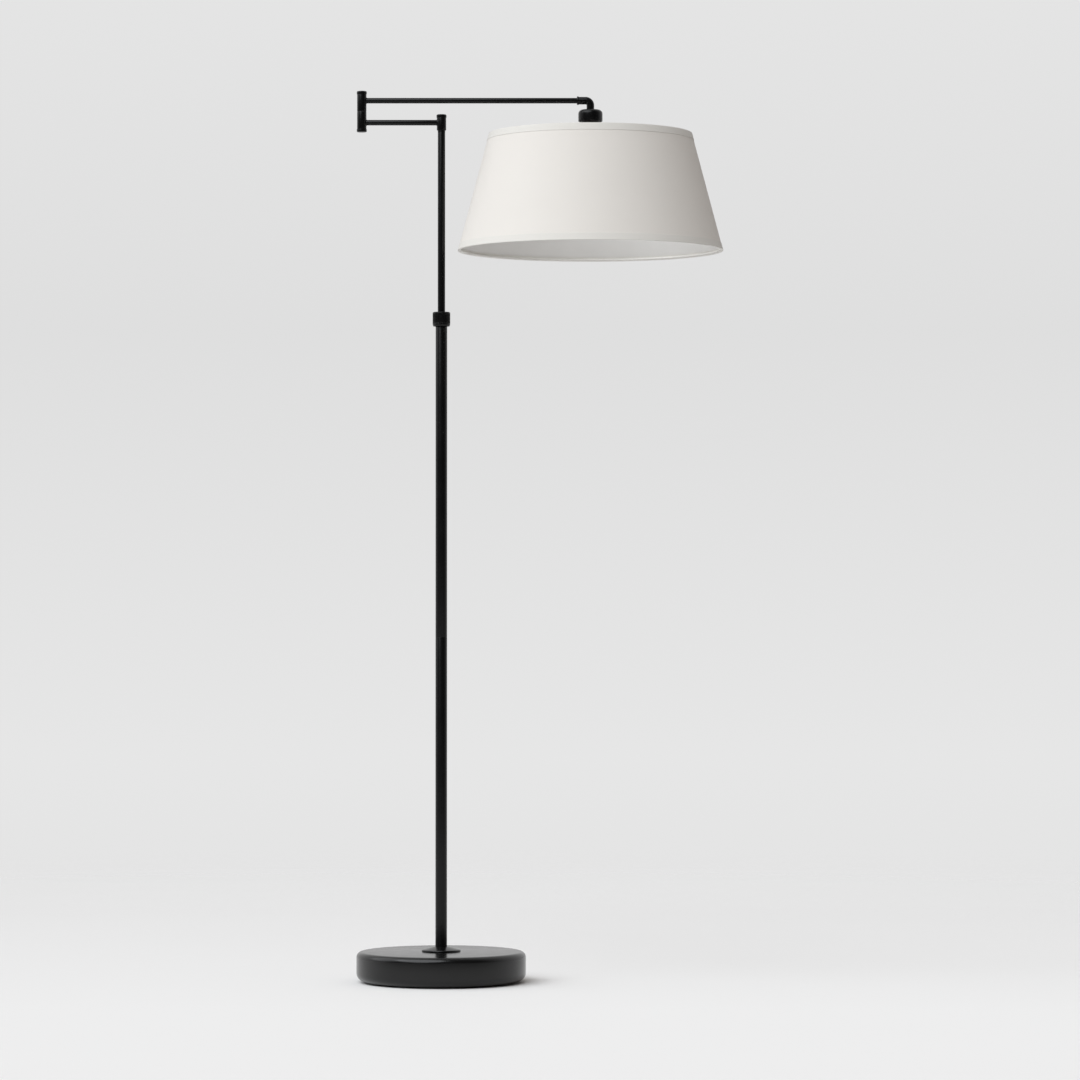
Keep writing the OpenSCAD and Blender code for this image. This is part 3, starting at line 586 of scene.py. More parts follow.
def cementFinish():
    recipe = newRecipe("cement")
    where = recipe.place()
    sand = recipe.noise(where, 900, 4, 0.7)
    pores = recipe.add("ShaderNodeTexVoronoi", None, {"Vector": where, "Scale": 260})
    # painted shade: the pores are painted dark, and the same mask sinks them in the bump
    poreDepthAndShade = recipe.ramp(pores, 0.05, 0.22)
    colour = recipe.mix(sand, (0.36, 0.35, 0.33), (0.55, 0.54, 0.51))
    return recipe.surface({
        "Base Color": recipe.mix(poreDepthAndShade, (0.20, 0.19, 0.18), colour),
        "Roughness": 0.92,
        "Normal": recipe.bump(sand * 0.4 + poreDepthAndShade, 0.5, 0.4 * mm),
    })


def feltFinish():
    recipe = newRecipe("felt")
    where = recipe.place()
    fibres = recipe.noise(where, 1400, 4, 0.75)
    flat = recipe.noise(where, 90, 2)
    return recipe.surface({
        "Base Color": recipe.mix(fibres, (0.020, 0.020, 0.021), (0.075, 0.074, 0.073)),
        "Roughness": 0.95 - flat * 0.05,
        "Sheen Weight": 0.3,
        "Normal": recipe.bump(fibres, 0.8, 0.3 * mm),
    })


def brushedFinish(name, colour, second, roughness):
    # drawn or turned metal: fine rings round upright pieces and lines along the others
    recipe = newRecipe(name)
    rings = recipe.noise(recipe.place(scale=(60, 60, 4200)), 1.0, 3, 0.7)
    cloud = recipe.noise(recipe.place(), 120, 3)
    return recipe.surface({
        "Base Color": recipe.mix(cloud, colour, second),
        "Metallic": 1.0,
        "Roughness": roughness + rings * 0.16 - 0.08 + cloud * 0.08,
        "Normal": recipe.bump(rings, 0.15, 0.03 * mm),
    })


# colour, the colour that it drifts to, roughness, and what differs from a plain surface
plainFinishes = {
    "liner": ((0.79, 0.78, 0.76), (0.75, 0.74, 0.72), 0.55, {"scale": 40, "relief": 0.05, "specular": 0.3}),
    "nylon": ((0.84, 0.82, 0.75), (0.78, 0.76, 0.68), 0.45, {"scale": 260}),
    "blackNylon": ((0.016, 0.016, 0.016), (0.024, 0.024, 0.024), 0.50, {"scale": 260, "specular": 0.35}),
    "blackRubber": (
        (0.016, 0.016, 0.016), (0.026, 0.025, 0.025), 0.72, {"scale": 300, "relief": 0.25, "specular": 0.3}),
    "leadSheath": ((0.020, 0.020, 0.020), (0.030, 0.030, 0.030), 0.60, {"scale": 300, "relief": 0.2}),
    "phenolic": ((0.014, 0.013, 0.012), (0.022, 0.020, 0.018), 0.28, {"scale": 150, "relief": 0.08}),
    "whiteWire": ((0.82, 0.81, 0.78), (0.75, 0.74, 0.70), 0.40, {"scale": 220, "relief": 0.12}),
    "bulbGlass": (
        (0.90, 0.895, 0.87), (0.86, 0.855, 0.83), 0.22, {"scale": 30, "relief": 0.02, "coat": 0.6}),
}
brushedFinishes = {
    "zincPlate": ((0.62, 0.62, 0.60), (0.50, 0.50, 0.49), 0.36),
    "zincSteel": ((0.72, 0.71, 0.67), (0.60, 0.60, 0.58), 0.30),
    "brass": ((0.80, 0.60, 0.28), (0.68, 0.48, 0.20), 0.28),
    "bulbAluminium": ((0.78, 0.78, 0.78), (0.66, 0.66, 0.66), 0.28),
}
finishes = {
    "baseEnamel": blackEnamel("baseEnamel", enamel["baseGloss"]),
    "tubeEnamel": blackEnamel("tubeEnamel", enamel["tubeGloss"]),
    "mastEnamel": blackEnamel("mastEnamel", enamel["tubeGloss"], streaks=-0.10),
    "shadeLinen": linenCloth("shadeLinen", linen["light"], linen["gapShadeAndMottle"]),
    "hemLinen": linenCloth("hemLinen", linen["hemLight"], linen["hemGapShadeAndMottle"], 0.5),
    "felt": feltFinish(),
    "cement": cementFinish(),
}
for finish, (colour, second, roughness, extras) in plainFinishes.items():
    finishes[finish] = plainFinish(finish, colour, second, roughness, **extras)
for finish, (colour, second, roughness) in brushedFinishes.items():
    finishes[finish] = brushedFinish(finish, colour, second, roughness)
print("finishes ready:", len(finishes))

# CAD nodes that keep their shape and get their finish here
keptNodes = {
    "cement": ["base_weight"],
    "zincPlate": ["bottom_plate"],
    "zincSteel": [
        "plate_screws", "stem_pipe", "stem_washer", "stem_nut", "head_nipple", "head_nut",
        "mast_spindle", "mast_spring_washer", "mast_nut",
        "elbow_spindle", "elbow_spring_washer", "elbow_nut",
    ],
    "brass": [
        "foot_bush", "tube_coupling", "lock_body", "screw_shell", "centre_contact",
        "switch_bushing", "switch_shaft",
    ],
    "nylon": ["lock_collet", "guide_bush"],
    "blackNylon": ["mast_washer", "elbow_washer"],
    "leadSheath": ["mast_lead", "short_arm_lead", "long_arm_lead"],
}
for finish, nodes in keptNodes.items():
    for node in nodes:
        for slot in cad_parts[node].material_slots:
            slot.link = "OBJECT"
            slot.material = finishes[finish]
print("CAD nodes finished:", sum(len(nodes) for nodes in keptNodes.values()))


# Base

baseSizes = {
    "topRound": 9.5 * mm,
    "bottomRound": 14 * mm,
    "wall": 2 * mm,
    "lip": 19 * mm,
    "lipRound": 0.4 * mm,
    "stemHole": 5.05 * mm,
    "glandHole": 5.05 * mm,
    "glandDrill": 30 * mm,   # length of the bar that cuts the gland's hole
    "padEdge": 0.7 * mm,
}


def makeBase():
    at, radius, bottom, top = upright("base_shell")
    wall = baseSizes["wall"]
    lip = radius - baseSizes["bottomRound"] - baseSizes["lip"]
    shell = turned("baseShell", [
        (lip, bottom, baseSizes["lipRound"]),
        (radius, bottom, baseSizes["bottomRound"]),
        (radius, top, baseSizes["topRound"]),
        (baseSizes["stemHole"], top, 0),
        (baseSizes["stemHole"], top - wall, 0),
        (radius - wall, top - wall, baseSizes["topRound"] - wall),
        (radius - wall, bottom + wall, baseSizes["bottomRound"] - wall),
        (lip, bottom + wall, baseSizes["lipRound"]),
    ], at, 144)
    low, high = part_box("cord_gland")
    drilled(shell, baseSizes["glandHole"], baseSizes["glandDrill"], alongY,
        (0, radius - wall, (low.z + high.z) / 2))
    smooth(shell)
    finished(shell, "stand", "baseEnamel", "base_shell")

    at, radius, bottom, top = upright("felt_pad")
    pad = turned("feltPad", [
        (radius * 0.5, bottom, 0),
        (radius, bottom, baseSizes["padEdge"]),
        (radius, top, baseSizes["padEdge"]),
        (radius * 0.5, top, 0),
    ], at, 144, closed=False)
    finished(pad, "stand", "felt", "felt_pad")


flangeSizes = {
    "edge": 3 * mm,          # height of the rim
    "edgeRound": 1.2 * mm,
    "boss": 3 * mm,          # width of the flat ring round the pole
    "bossRound": 0.5 * mm,
    "hole": 5.1 * mm,
    "seat": 5 * mm,
    "room": 0.05 * mm,       # round the pole
    "mouthRound": 0.35 * mm,
}


def makeFlange():
    # low cone that rises to a flat ring round the pole
    at, radius, bottom, top = upright("pole_flange")
    tube = upright("lower_tube_bottom")[1] + flangeSizes["room"]
    flange = turned("poleFlange", [
        (flangeSizes["hole"], bottom, 0),
        (radius, bottom, eased),
        (radius, bottom + flangeSizes["edge"], flangeSizes["edgeRound"]),
        (tube + flangeSizes["boss"], top, flangeSizes["bossRound"]),
        (tube, top, flangeSizes["mouthRound"]),
        (tube, top - flangeSizes["seat"], 0),
        (flangeSizes["hole"], top - flangeSizes["seat"], 0),
    ], at, 96)
    finished(flange, "stand", "baseEnamel", "pole_flange")


glandSizes = {
    "body": 5.0 * mm,
    "bore": 3.6 * mm,
    "flange": 2.0 * mm,
    "flangeRound": 0.8 * mm,
    "flangeSeat": 2.2 * mm,
    "wallRoom": 2.05 * mm,   # between the flange's seat and the ridge
    "ridge": 2.0 * mm,       # locks the gland behind the wall
    "ridgeRise": 0.9 * mm,
}


def makeGland():
    low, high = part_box("cord_gland")
    reach = high.y - low.y
    rim = (high.x - low.x) / 2
    body = glandSizes["body"]
    flange = reach - glandSizes["flange"]
    ridge = reach - glandSizes["flangeSeat"] - glandSizes["ridge"] - glandSizes["wallRoom"]
    outline = [
        (glandSizes["bore"], reach, soft),
        (rim - glandSizes["flangeRound"], reach, 0),
        (rim, reach - glandSizes["flangeRound"], eased),
        (rim, flange, crisp),
        (body, flange, 0),
        (body, ridge + glandSizes["ridge"], 0),
        (body + glandSizes["ridgeRise"], ridge + glandSizes["ridge"], crisp),
        (body, ridge, 0),
        (body, 0, eased),
        (glandSizes["bore"], 0, eased),
    ]
    gland = turned("cordGland", outline, sides=48)
    place(gland, turn=(-90, 0, 0), to=(0, low.y, (low.z + high.z) / 2))
    finished(gland, "stand", "blackRubber", "cord_gland")


makeBase()
makeFlange()
makeGland()
print("base ready")


# Pole, twist lock and mast

poleSizes = {
    "lowerWall": 1.2 * mm,
    "mastWall": 1.0 * mm,
    "seam": 0.35 * mm,       # rounding of the tube ends where they meet
    "rim": 0.15 * mm,        # how far the painted bead at the mast's top stands out
    "rimLap": 0.4 * mm,      # how far it reaches down the mast
    "rimGap": 0.02 * mm,     # between it and the washer
    "rimRound": 0.1 * mm,
}


def makeTube(name, node, wall, body, finish, seam):
    at, radius, bottom, top = upright(node)
    tube = turned(name, [
        (radius, bottom, seam),
        (radius, top, seam),
        (radius - wall, top, 0),
        (radius - wall, bottom, 0),
    ], at, 72)
    finished(tube, body, finish, node)


def makeMastRim():
    # painted bead that closes the joint of the mast and its spindle's flange
    at, radius, bottom, top = upright("mast_tube")
    proud = poleSizes["rim"]
    low = top - poleSizes["rimLap"]
    high = upright("mast_washer")[2] - poleSizes["rimGap"]
    rim = turned("mastRim", [
        (radius + proud, low, poleSizes["rimRound"]),
        (radius + proud, high, poleSizes["rimRound"]),
        (radius - proud, high, 0),
        (radius - proud, low, 0),
    ], at, 72)
    finished(rim, "mast", "mastEnamel")


lockSizes = {
    "flutes": 30,
    "fluteSides": 8,         # facets to a flute
    "fluteDepth": 0.75 * mm,
    "fluteInset": 1.0 * mm,  # from the fluted band to the edges
    "fluteRows": 10,
    "fluteMargin": 0.1 * mm,
    "threadRoom": 0.1 * mm,
    "mastBore": 6.65 * mm,
    "taper": 3 * mm,
    "edge": 1.2 * mm,
    "neck": 5.9 * mm,        # depth from the nut's top to the cone that squeezes the collet
    "cone": (7.1 * mm, 9.85 * mm, 5 * mm),    # the cone's narrow radius, wide radius and height
}


def makeLockNut():
    at, radius, bottom, top = upright("lock_nut")
    thread = upright("lock_body")
    bore = thread[1] + lockSizes["threadRoom"]
    threadTop = thread[3] + lockSizes["threadRoom"]
    narrow, wide, coneHeight = lockSizes["cone"]
    coneTop = top - lockSizes["neck"]
    sides = lockSizes["flutes"] * lockSizes["fluteSides"]
    edge = lockSizes["edge"]
    margin = lockSizes["fluteMargin"]
    bandLow = bottom + lockSizes["taper"] + lockSizes["fluteInset"]
    bandHigh = top - edge - lockSizes["fluteInset"]
    nut = turned("lockNut", [
        (bore, bottom, crisp),
        (radius - edge, bottom, eased),
        (radius, bottom + lockSizes["taper"], 0.4 * mm),
        *straight(radius, bandLow, bandHigh, lockSizes["fluteRows"]),
        (radius, top - edge, 0.35 * mm),
        (radius - edge, top, eased),
        (lockSizes["mastBore"], top, 0.25 * mm),
        (lockSizes["mastBore"], coneTop, 0),
        (narrow, coneTop - 0.1 * mm, 0),
        (wide, coneTop - coneHeight, 0),
        (wide, threadTop, 0),
        (bore, threadTop, 0),
    ], at, sides)
    grooved(nut, at, lockSizes["flutes"], sides, 2, lockSizes["fluteDepth"],
        bandLow + margin, bandHigh - margin, radius * 0.9)
    smooth(nut, 40)
    finished(nut, "lock", "tubeEnamel", "lock_nut")


for name, node in (("lowerTubeBottom", "lower_tube_bottom"), ("lowerTubeTop", "lower_tube_top")):
    makeTube(name, node, poleSizes["lowerWall"], "stand", "tubeEnamel", poleSizes["seam"])
makeTube("mastTube", "mast_tube", poleSizes["mastWall"], "mast", "mastEnamel", crisp)
makeMastRim()
makeLockNut()
print("pole ready")


# Swing arms

armSizes = {
    "wall": 1.4 * mm,
    "bore": 4.0 * mm,
    "edge": 0.35 * mm,
    "floors": {"bottom": 3 * mm, "top": 7 * mm},
    "hole": 4.8 * mm,        # radius of the arm's hole in a barrel
    "holeDepth": 12 * mm,
    "armWall": 1.0 * mm,
    "capEdge": 1.6 * mm,
    "capCrown": 0.6 * mm,
    "capProfile": ((0.55, 0.35), (0.25, 0.08), (0.06, 0)),    # shares of the radius and of the crown
    "plug": 3 * mm,
    "plugInset": 2.1 * mm,
    "bead": 1.1 * mm,        # leg of the brazed fillet
    "beadBore": 4.78 * mm,
    "beadRoot": 0.3 * mm,    # how deep its root lies in the arm
    "beadSunk": 1.0 * mm,    # and in the barrel
}


def makeBarrel(name, node, floorEnd, body, holeAt, side):
    # floorEnd is "bottom" or "top": the end that the spindle passes through
    at, radius, bottom, top = upright(node)
    chamber = radius - armSizes["wall"]
    floor = bottom + armSizes["floors"][floorEnd]
    outline = [
        (armSizes["bore"], bottom, 0),
        (radius, bottom, armSizes["edge"]),
        (radius, top, armSizes["edge"]),
        (chamber, top, 0),
        (chamber, floor, 0),
        (armSizes["bore"], floor, 0),
    ]
    if floorEnd == "top":
        outline = flipped(outline, bottom, top)
    barrel = turned(name, outline, at, 72)
    depth = armSizes["holeDepth"]
    drilled(barrel, armSizes["hole"], depth, alongX, (at[0] + side * depth / 2, 0, holeAt))
    smooth(barrel)
    finished(barrel, body, "tubeEnamel", node)
    return at, radius


def makeCap(name, node, body, up=True):
    at, radius, bottom, top = upright(node)
    crown = armSizes["capCrown"]
    plug = bottom + armSizes["plug"]
    inset = radius - armSizes["plugInset"]
    outline = [
        (inset, bottom, eased),
        (inset, plug, 0),
        (radius, plug, 0.25 * mm),
        (radius, top - crown, armSizes["capEdge"]),
        *[(radius * share, top - crown * drop, 0) for share, drop in armSizes["capProfile"]],
    ]
    if not up:
        outline = flipped(outline, bottom, top)
    cap = turned(name, outline, at, 64, closed=False)
    finished(cap, body, "tubeEnamel", node)


def makeBead(name, axisX, barrelRadius, side, height, body):
    bore = armSizes["beadBore"]
    root = bore - armSizes["beadRoot"]
    leg = armSizes["bead"]
    bead = turned(name, [
        (root, -armSizes["beadSunk"], 0),
        (bore + leg, -0.05 * mm, 0),
        (bore + leg * 0.42, leg * 0.38, 0),
        (bore, leg, 0),
        (root, leg, 0),
    ], sides=64)
    place(bead, turn=(0, 90 * side, 0), to=(axisX + side * barrelRadius, 0, height))
    saddled(bead, axisX, barrelRadius, side)
    smooth(bead, 60)
    finished(bead, body, "tubeEnamel")


def makeArm(name, node, body):
    low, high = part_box(node)
    radius = (high.z - low.z) / 2
    reach = high.x - low.x
    tube = turned(name, [
        (radius, 0, crisp),
        (radius, reach, crisp),
        (radius - armSizes["armWall"], reach, 0),
        (radius - armSizes["armWall"], 0, 0),
    ], sides=64)
    place(tube, turn=(0, 90, 0), to=(low.x, 0, (low.z + high.z) / 2))
    finished(tube, body, "tubeEnamel", node)
    return (low.z + high.z) / 2


shortAxis = makeArm("shortArmTube", "short_arm_tube", "short_arm")
longAxis = makeArm("longArmTube", "long_arm_tube", "long_arm")
swivelAt, barrelRadius = makeBarrel("swivelBarrel", "swivel_barrel", "bottom", "short_arm", shortAxis, -1)
elbowAt, barrelRadius = makeBarrel("lowerKnuckle", "lower_knuckle", "top", "short_arm", shortAxis, 1)
makeBarrel("upperKnuckle", "upper_knuckle", "bottom", "long_arm", longAxis, 1)
makeCap("swivelCap", "swivel_cap", "short_arm")
makeCap("lowerKnuckleCap", "lower_knuckle_cap", "short_arm", up=False)
makeCap("upperKnuckleCap", "upper_knuckle_cap", "long_arm")
makeBead("swivelBead", swivelAt[0], barrelRadius, -1, shortAxis, "short_arm")
makeBead("lowerKnuckleBead", elbowAt[0], barrelRadius, 1, shortAxis, "short_arm")
makeBead("upperKnuckleBead", elbowAt[0], barrelRadius, 1, longAxis, "long_arm")
print("arms ready")


# End elbow and the cap under it

elbowSizes = {
    "radius": 6.5 * mm,
    "bend": 8 * mm,
    "armHole": 4.8 * mm,
    "beadWidth": 3 * mm,
    "beadRise": 0.8 * mm,
    "beadBevel": 0.15 * mm,
    "beadRoot": 0.12 * mm,
    "mouth": 0.25 * mm,      # bevel of the lower end
    "bendSteps": 16,
}


def makeEndElbow():
    low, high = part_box("end_elbow")
    headX = upright("head_cap")[0][0]
    radius = elbowSizes["radius"]
    bend = elbowSizes["bend"]
    lip = radius + elbowSizes["beadRise"]
    lipEnd = low.x + elbowSizes["beadWidth"]
    bevel = elbowSizes["beadBevel"]
    root = elbowSizes["beadRoot"]
    mouth = elbowSizes["mouth"]
    ringPlace = low.x
    ringRadius = elbowSizes["armHole"]
    deselectAll()
    bpy.ops.mesh.primitive_circle_add(vertices=64, radius=ringRadius, rotation=alongX,
        location=(ringPlace, 0, longAxis))
    elbow = bpy.context.object
    elbow.name = "endElbow"
    bpy.ops.object.transform_apply(location=True, rotation=True)
    bpy.ops.object.mode_set(mode="EDIT")
    profile = [
        (lip - soft, low.x),
        (lip - bevel, low.x + bevel),
        (lip, low.x + soft),
        (lip, lipEnd - soft),
        (lip - bevel, lipEnd - bevel),
        (lip - soft, lipEnd),
        (radius + root, lipEnd),
        (radius, lipEnd + root),
        (radius, headX - bend),
    ]
    for nextRadius, nextPlace in profile:
        bpy.ops.mesh.extrude_region_move(TRANSFORM_OT_translate={"value": (nextPlace - ringPlace, 0, 0)})
        grow = nextRadius / ringRadius
        bpy.ops.transform.resize(value=(1, grow, grow), center_override=(nextPlace, 0, longAxis))
        ringPlace = nextPlace
        ringRadius = nextRadius
    bpy.ops.mesh.spin(steps=elbowSizes["bendSteps"], angle=-math.pi / 2,
        center=(headX - bend, 0, longAxis - bend), axis=(0, 1, 0))
    drop = longAxis - bend - low.z
    for fall in (mouth - drop, -mouth):
        bpy.ops.mesh.extrude_region_move(TRANSFORM_OT_translate={"value": (0, 0, fall)})
    shrink = (radius - mouth) / radius
    bpy.ops.transform.resize(value=(shrink, shrink, 1), center_override=(headX, 0, low.z))
    bpy.ops.mesh.select_all(action="SELECT")
    bpy.ops.mesh.remove_doubles(threshold=0.001 * mm)
    bpy.ops.mesh.fill_holes(sides=0)
    bpy.ops.mesh.select_all(action="SELECT")
    bpy.ops.mesh.normals_make_consistent(inside=False)
    bpy.ops.object.mode_set(mode="OBJECT")
    smooth(elbow, 40)
    finished(elbow, "long_arm", "tubeEnamel", "end_elbow")


capSizes = {
    "hole": 5.0 * mm,
    "round": 7 * mm,
    "wall": 1.2 * mm,
    "rolledEdge": 0.5 * mm,
}


def makeHeadCap():
    at, radius, bottom, top = upright("head_cap")
    wall = capSizes["wall"]
    hole = capSizes["hole"]
    cap = turned("headCap", [
        (hole, top, crisp),
        (radius, top, capSizes["round"]),
        (radius, bottom, capSizes["rolledEdge"]),
        (radius - wall, bottom, capSizes["rolledEdge"]),
        (radius - wall, top - wall, capSizes["round"] - wall),
        (hole, top - wall, 0),
    ], at, 96)
    finished(cap, "long_arm", "tubeEnamel", "head_cap")


makeEndElbow()
makeHeadCap()
print("elbow ready")


# Lampholder, ring nut, switch knob and bulb

holderSizes = {
    "nippleHole": 4.95 * mm,
    "neck": 8.9 * mm,
    "neckHeight": 4 * mm,
    "slope": 4 * mm,
    "body": 16.5 * mm,
    "grooves": (8 * mm, 11 * mm),    # from the slope down to each groove
    "grooveDepth": 0.5 * mm,
    "grooveFloor": 0.4 * mm,         # half the width of its floor and of its mouth
    "grooveMouth": 0.7 * mm,
    "flangeThickness": 3 * mm,
    "flangeRise": 24 * mm,   # height of the flange above the holder's mouth
    "bore": 14.15 * mm,
    "boreDepth": 29 * mm,
    "pitch": 2.6 * mm,
    "threadDepth": 0.55 * mm,
    "threadRows": 60,
    "threadInset": 1 * mm,
    "switchHole": 3.56 * mm,
    "switchDrill": 8 * mm,
}


def makeLampholder():
    at, brim, bottom, top = upright("lampholder")
    body = holderSizes["body"]
    flange = bottom + holderSizes["flangeRise"]
    flangeTop = flange + holderSizes["flangeThickness"]
    slopeTop = top - holderSizes["neckHeight"]
    slopeBottom = slopeTop - holderSizes["slope"]
    boreTop = bottom + holderSizes["boreDepth"]
    inset = holderSizes["threadInset"]
    outline = [
        (holderSizes["nippleHole"], top, eased),
        (holderSizes["neck"], top, soft),
        (holderSizes["neck"], slopeTop, soft),
        (body, slopeBottom, 1.1 * mm),
    ]
    for groove in holderSizes["grooves"]:
        middle = slopeBottom - groove
        floor = body - holderSizes["grooveDepth"]
        outline += [
            (body, middle + holderSizes["grooveMouth"], crisp),
            (floor, middle + holderSizes["grooveFloor"], 0),
            (floor, middle - holderSizes["grooveFloor"], 0),
            (body, middle - holderSizes["grooveMouth"], crisp),
        ]
    outline += [
        (body, flangeTop, soft),
        (brim, flangeTop, 0.6 * mm),
        (brim, flange, 0.4 * mm),
        (body, flange, 0),
        *straight(body, flange - inset, bottom + inset, holderSizes["threadRows"]),
        (body - 0.4 * mm, bottom, crisp),
        (holderSizes["bore"], bottom, eased),
        (holderSizes["bore"], boreTop, 0),
        (holderSizes["nippleHole"], boreTop, 0),
    ]
    holder = turned("lampholderBody", outline, at, 96)
    threaded(holder, at, bottom + 0.6 * mm, flange - 0.6 * mm,
        holderSizes["pitch"], holderSizes["threadDepth"], body - 1 * mm)
    low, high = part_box("switch_bushing")
    drilled(holder, holderSizes["switchHole"], holderSizes["switchDrill"], alongY,
        (at[0], low.y + 0.5 * mm, (low.z + high.z) / 2))
    smooth(holder, 40)
    finished(holder, "long_arm", "phenolic", "lampholder")


ringNutSizes = {
    "grips": 16,
    "gripSides": 12,         # facets to a grip
    "gripDepth": 1.6 * mm,
    "gripRows": 6,
    "lip": 2 * mm,
    "room": 0.06 * mm,       # round the lampholder
}


def makeRingNut():
    at, radius, bottom, top = upright("ring_nut")
    sides = ringNutSizes["grips"] * ringNutSizes["gripSides"]
    bore = holderSizes["body"] + ringNutSizes["room"]
    gripTop = top - ringNutSizes["lip"]
    nut = turned("ringNut", [
        (bore, bottom, 0.4 * mm),
        (radius - 1.0 * mm, bottom, 0),
        *straight(radius, bottom + 0.6 * mm, gripTop, ringNutSizes["gripRows"]),
        (radius, top - 0.5 * mm, 0),
        (radius - 0.5 * mm, top, 0),
        (bore, top, eased),
    ], at, sides)
    grooved(nut, at, ringNutSizes["grips"], sides, 3, ringNutSizes["gripDepth"], bottom - 0.1 * mm,
        gripTop - 0.1 * mm, radius - 1.4 * mm)
    smooth(nut, 40)
    finished(nut, "long_arm", "phenolic", "ring_nut")


knobSizes = {
    "flutes": 12,
    "fluteSides": 8,
    "fluteDepth": 0.55 * mm,
    "skirt": 2 * mm,
    "dome": ((0.3, 1.6), (1.0, 0.6), (2.2, 0.05), (3.4, 0)),    # mm in from the side and down from the end
    "shaft": 1.65 * mm,
    "shaftDepth": 8 * mm,
}


def makeKnob():
    low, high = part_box("switch_knob")
    radius = (high.x - low.x) / 2
    length = high.y - low.y
    sides = knobSizes["flutes"] * knobSizes["fluteSides"]
    skirt = knobSizes["skirt"]
    outline = [
        (knobSizes["shaft"], knobSizes["shaftDepth"], 0),
        (knobSizes["shaft"], 0, 0.15 * mm),
        (radius - 1.5 * mm, 0, eased),
        (radius - 0.5 * mm, 1 * mm, crisp),
        (radius - 0.45 * mm, skirt, 0),
    ]
    for height in steps(skirt + 0.4 * mm, length - 3 * mm, 6):
        outline.append((radius - 0.4 * mm + 0.4 * mm * height / length, height, 0))
    outline += [(radius - inward * mm, length - down * mm, 0) for inward, down in knobSizes["dome"]]
    knob = turned("switchKnob", outline, sides=sides, closed=False)
    grooved(knob, (0, 0), knobSizes["flutes"], sides, 2, knobSizes["fluteDepth"], skirt + 0.3 * mm,
        length - 0.5 * mm, radius - 1.2 * mm)
    place(knob, turn=(90, 0, 0), to=((low.x + high.x) / 2, high.y, (low.z + high.z) / 2))
    smooth(knob, 40)
    finished(knob, "switch", "phenolic", "switch_knob")


bulbSizes = {
    "coneHeight": 4 * mm,
    "tipHeight": 2 * mm,
    "tip": 4 * mm,
    "pitch": 3.63 * mm,
    "threadDepth": 0.9 * mm,
    "threadRows": 56,
    "glassNeck": 13.0 * mm,
    "glassRows": 40,
    "glassEnd": -88.5,       # degrees, where the globe's arc ends below its centre
}


def makeBulb():
    at, radius, bottom, top = upright("bulb_base")
    coneBottom = top - bulbSizes["tipHeight"] - bulbSizes["coneHeight"]
    shell = turned("bulbBase", [
        (radius - 0.9 * mm, bottom, 0),
        (radius - 0.1 * mm, bottom + 0.3 * mm, 0),
        *straight(radius, bottom + 1.5 * mm, coneBottom, bulbSizes["threadRows"]),
        (radius - 1.2 * mm, coneBottom + 1.0 * mm, 0),
        (radius - 4.5 * mm, coneBottom + 1.3 * mm, 0),
        (radius - 4.8 * mm, coneBottom + 1.2 * mm, 0),
    ], at, 96, closed=False)
    threaded(shell, at, bottom + 1.6 * mm, coneBottom - 0.2 * mm,
        bulbSizes["pitch"], bulbSizes["threadDepth"], radius * 0.9)
    smooth(shell, 50)
    finished(shell, "long_arm", "bulbAluminium", "bulb_base")

    coneTop = coneBottom + bulbSizes["coneHeight"]
    tip = bulbSizes["tip"]
    insulator = turned("bulbInsulator", [
        (radius - 5.0 * mm, coneBottom + 0.8 * mm, 0),
        (radius - 5.0 * mm, coneBottom + 1.6 * mm, eased),
        (tip + 0.6 * mm, coneTop, 0.4 * mm),
        (tip - 0.4 * mm, coneTop, 0),
    ], at, 48, closed=False)
    finished(insulator, "long_arm", "phenolic")
    contact = turned("bulbTip", [
        (tip, top - bulbSizes["tipHeight"] - 0.1 * mm, 0),
        (tip, top - 1.0 * mm, soft),
        (tip * 0.5, top, eased),
    ], at, 40, closed=False)
    finished(contact, "long_arm", "zincSteel")

    at, radius, crown, neckTop = upright("bulb_globe")
    centre = crown + radius
    neck = bulbSizes["glassNeck"]
    rise = neckTop - centre
    start = math.atan2(rise, neck) - math.acos(radius / math.hypot(rise, neck))
    outline = [(neck - 0.3 * mm, neckTop, 0), (neck, neckTop - 1.2 * mm, 0)]
    for angle in steps(start, math.radians(bulbSizes["glassEnd"]), bulbSizes["glassRows"]):
        outline.append((radius * math.cos(angle), centre + radius * math.sin(angle), 0))
    globe = turned("bulbGlobe", outline, at, 96, closed=False)
    smooth(globe, 60)
    finished(globe, "long_arm", "bulbGlass", "bulb_globe")


makeLampholder()
makeRingNut()
makeKnob()
makeBulb()
print("lamp head ready")


# Shade: linen on a plastic liner, taped hems, rim wires and the spoked centre ring

shadeSizes = {
    "sides": 180,
    "rows": 10,
    "linen": 0.6 * mm,
    "liner": 0.7 * mm,
    "hem": 12 * mm,
    "hemThickness": 0.55 * mm,
    "hemProud": 0.6 * mm,    # how far the CAD hems stand out from the cloth
    "clothEdge": 0.6 * mm,   # how far the cloth's cut edges lie inside the rims
    "wire": 1.5 * mm,
    "contact": 0.02 * mm,    # left between two layers
    "lapAngle": 3.0,         # degrees, width of the lap seam at the back
    "lapRise": 0.45 * mm,
    "lapOverlap": 0.2 * mm,
}


def shadeFrame():
    # the cone's axis, its rims and its outer radius at any height, read from the two CAD hems
    low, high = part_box("shade_bottom_hem")
    upperLow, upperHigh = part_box("shade_top_hem")
    bottomRadius = (high.x - low.x) / 2
    upperRadius = (upperHigh.x - upperLow.x) / 2
    slope = (bottomRadius - upperRadius) / (upperLow.z - low.z)
    skin = bottomRadius - shadeSizes["hemProud"]

    def radiusAt(height):
        return skin - slope * (height - low.z)

    return ((low.x + high.x) / 2, 0), low.z, upperHigh.z, radiusAt, slope


shadeAt, shadeBottom, shadeTop, shadeRadius, shadeSlope = shadeFrame()


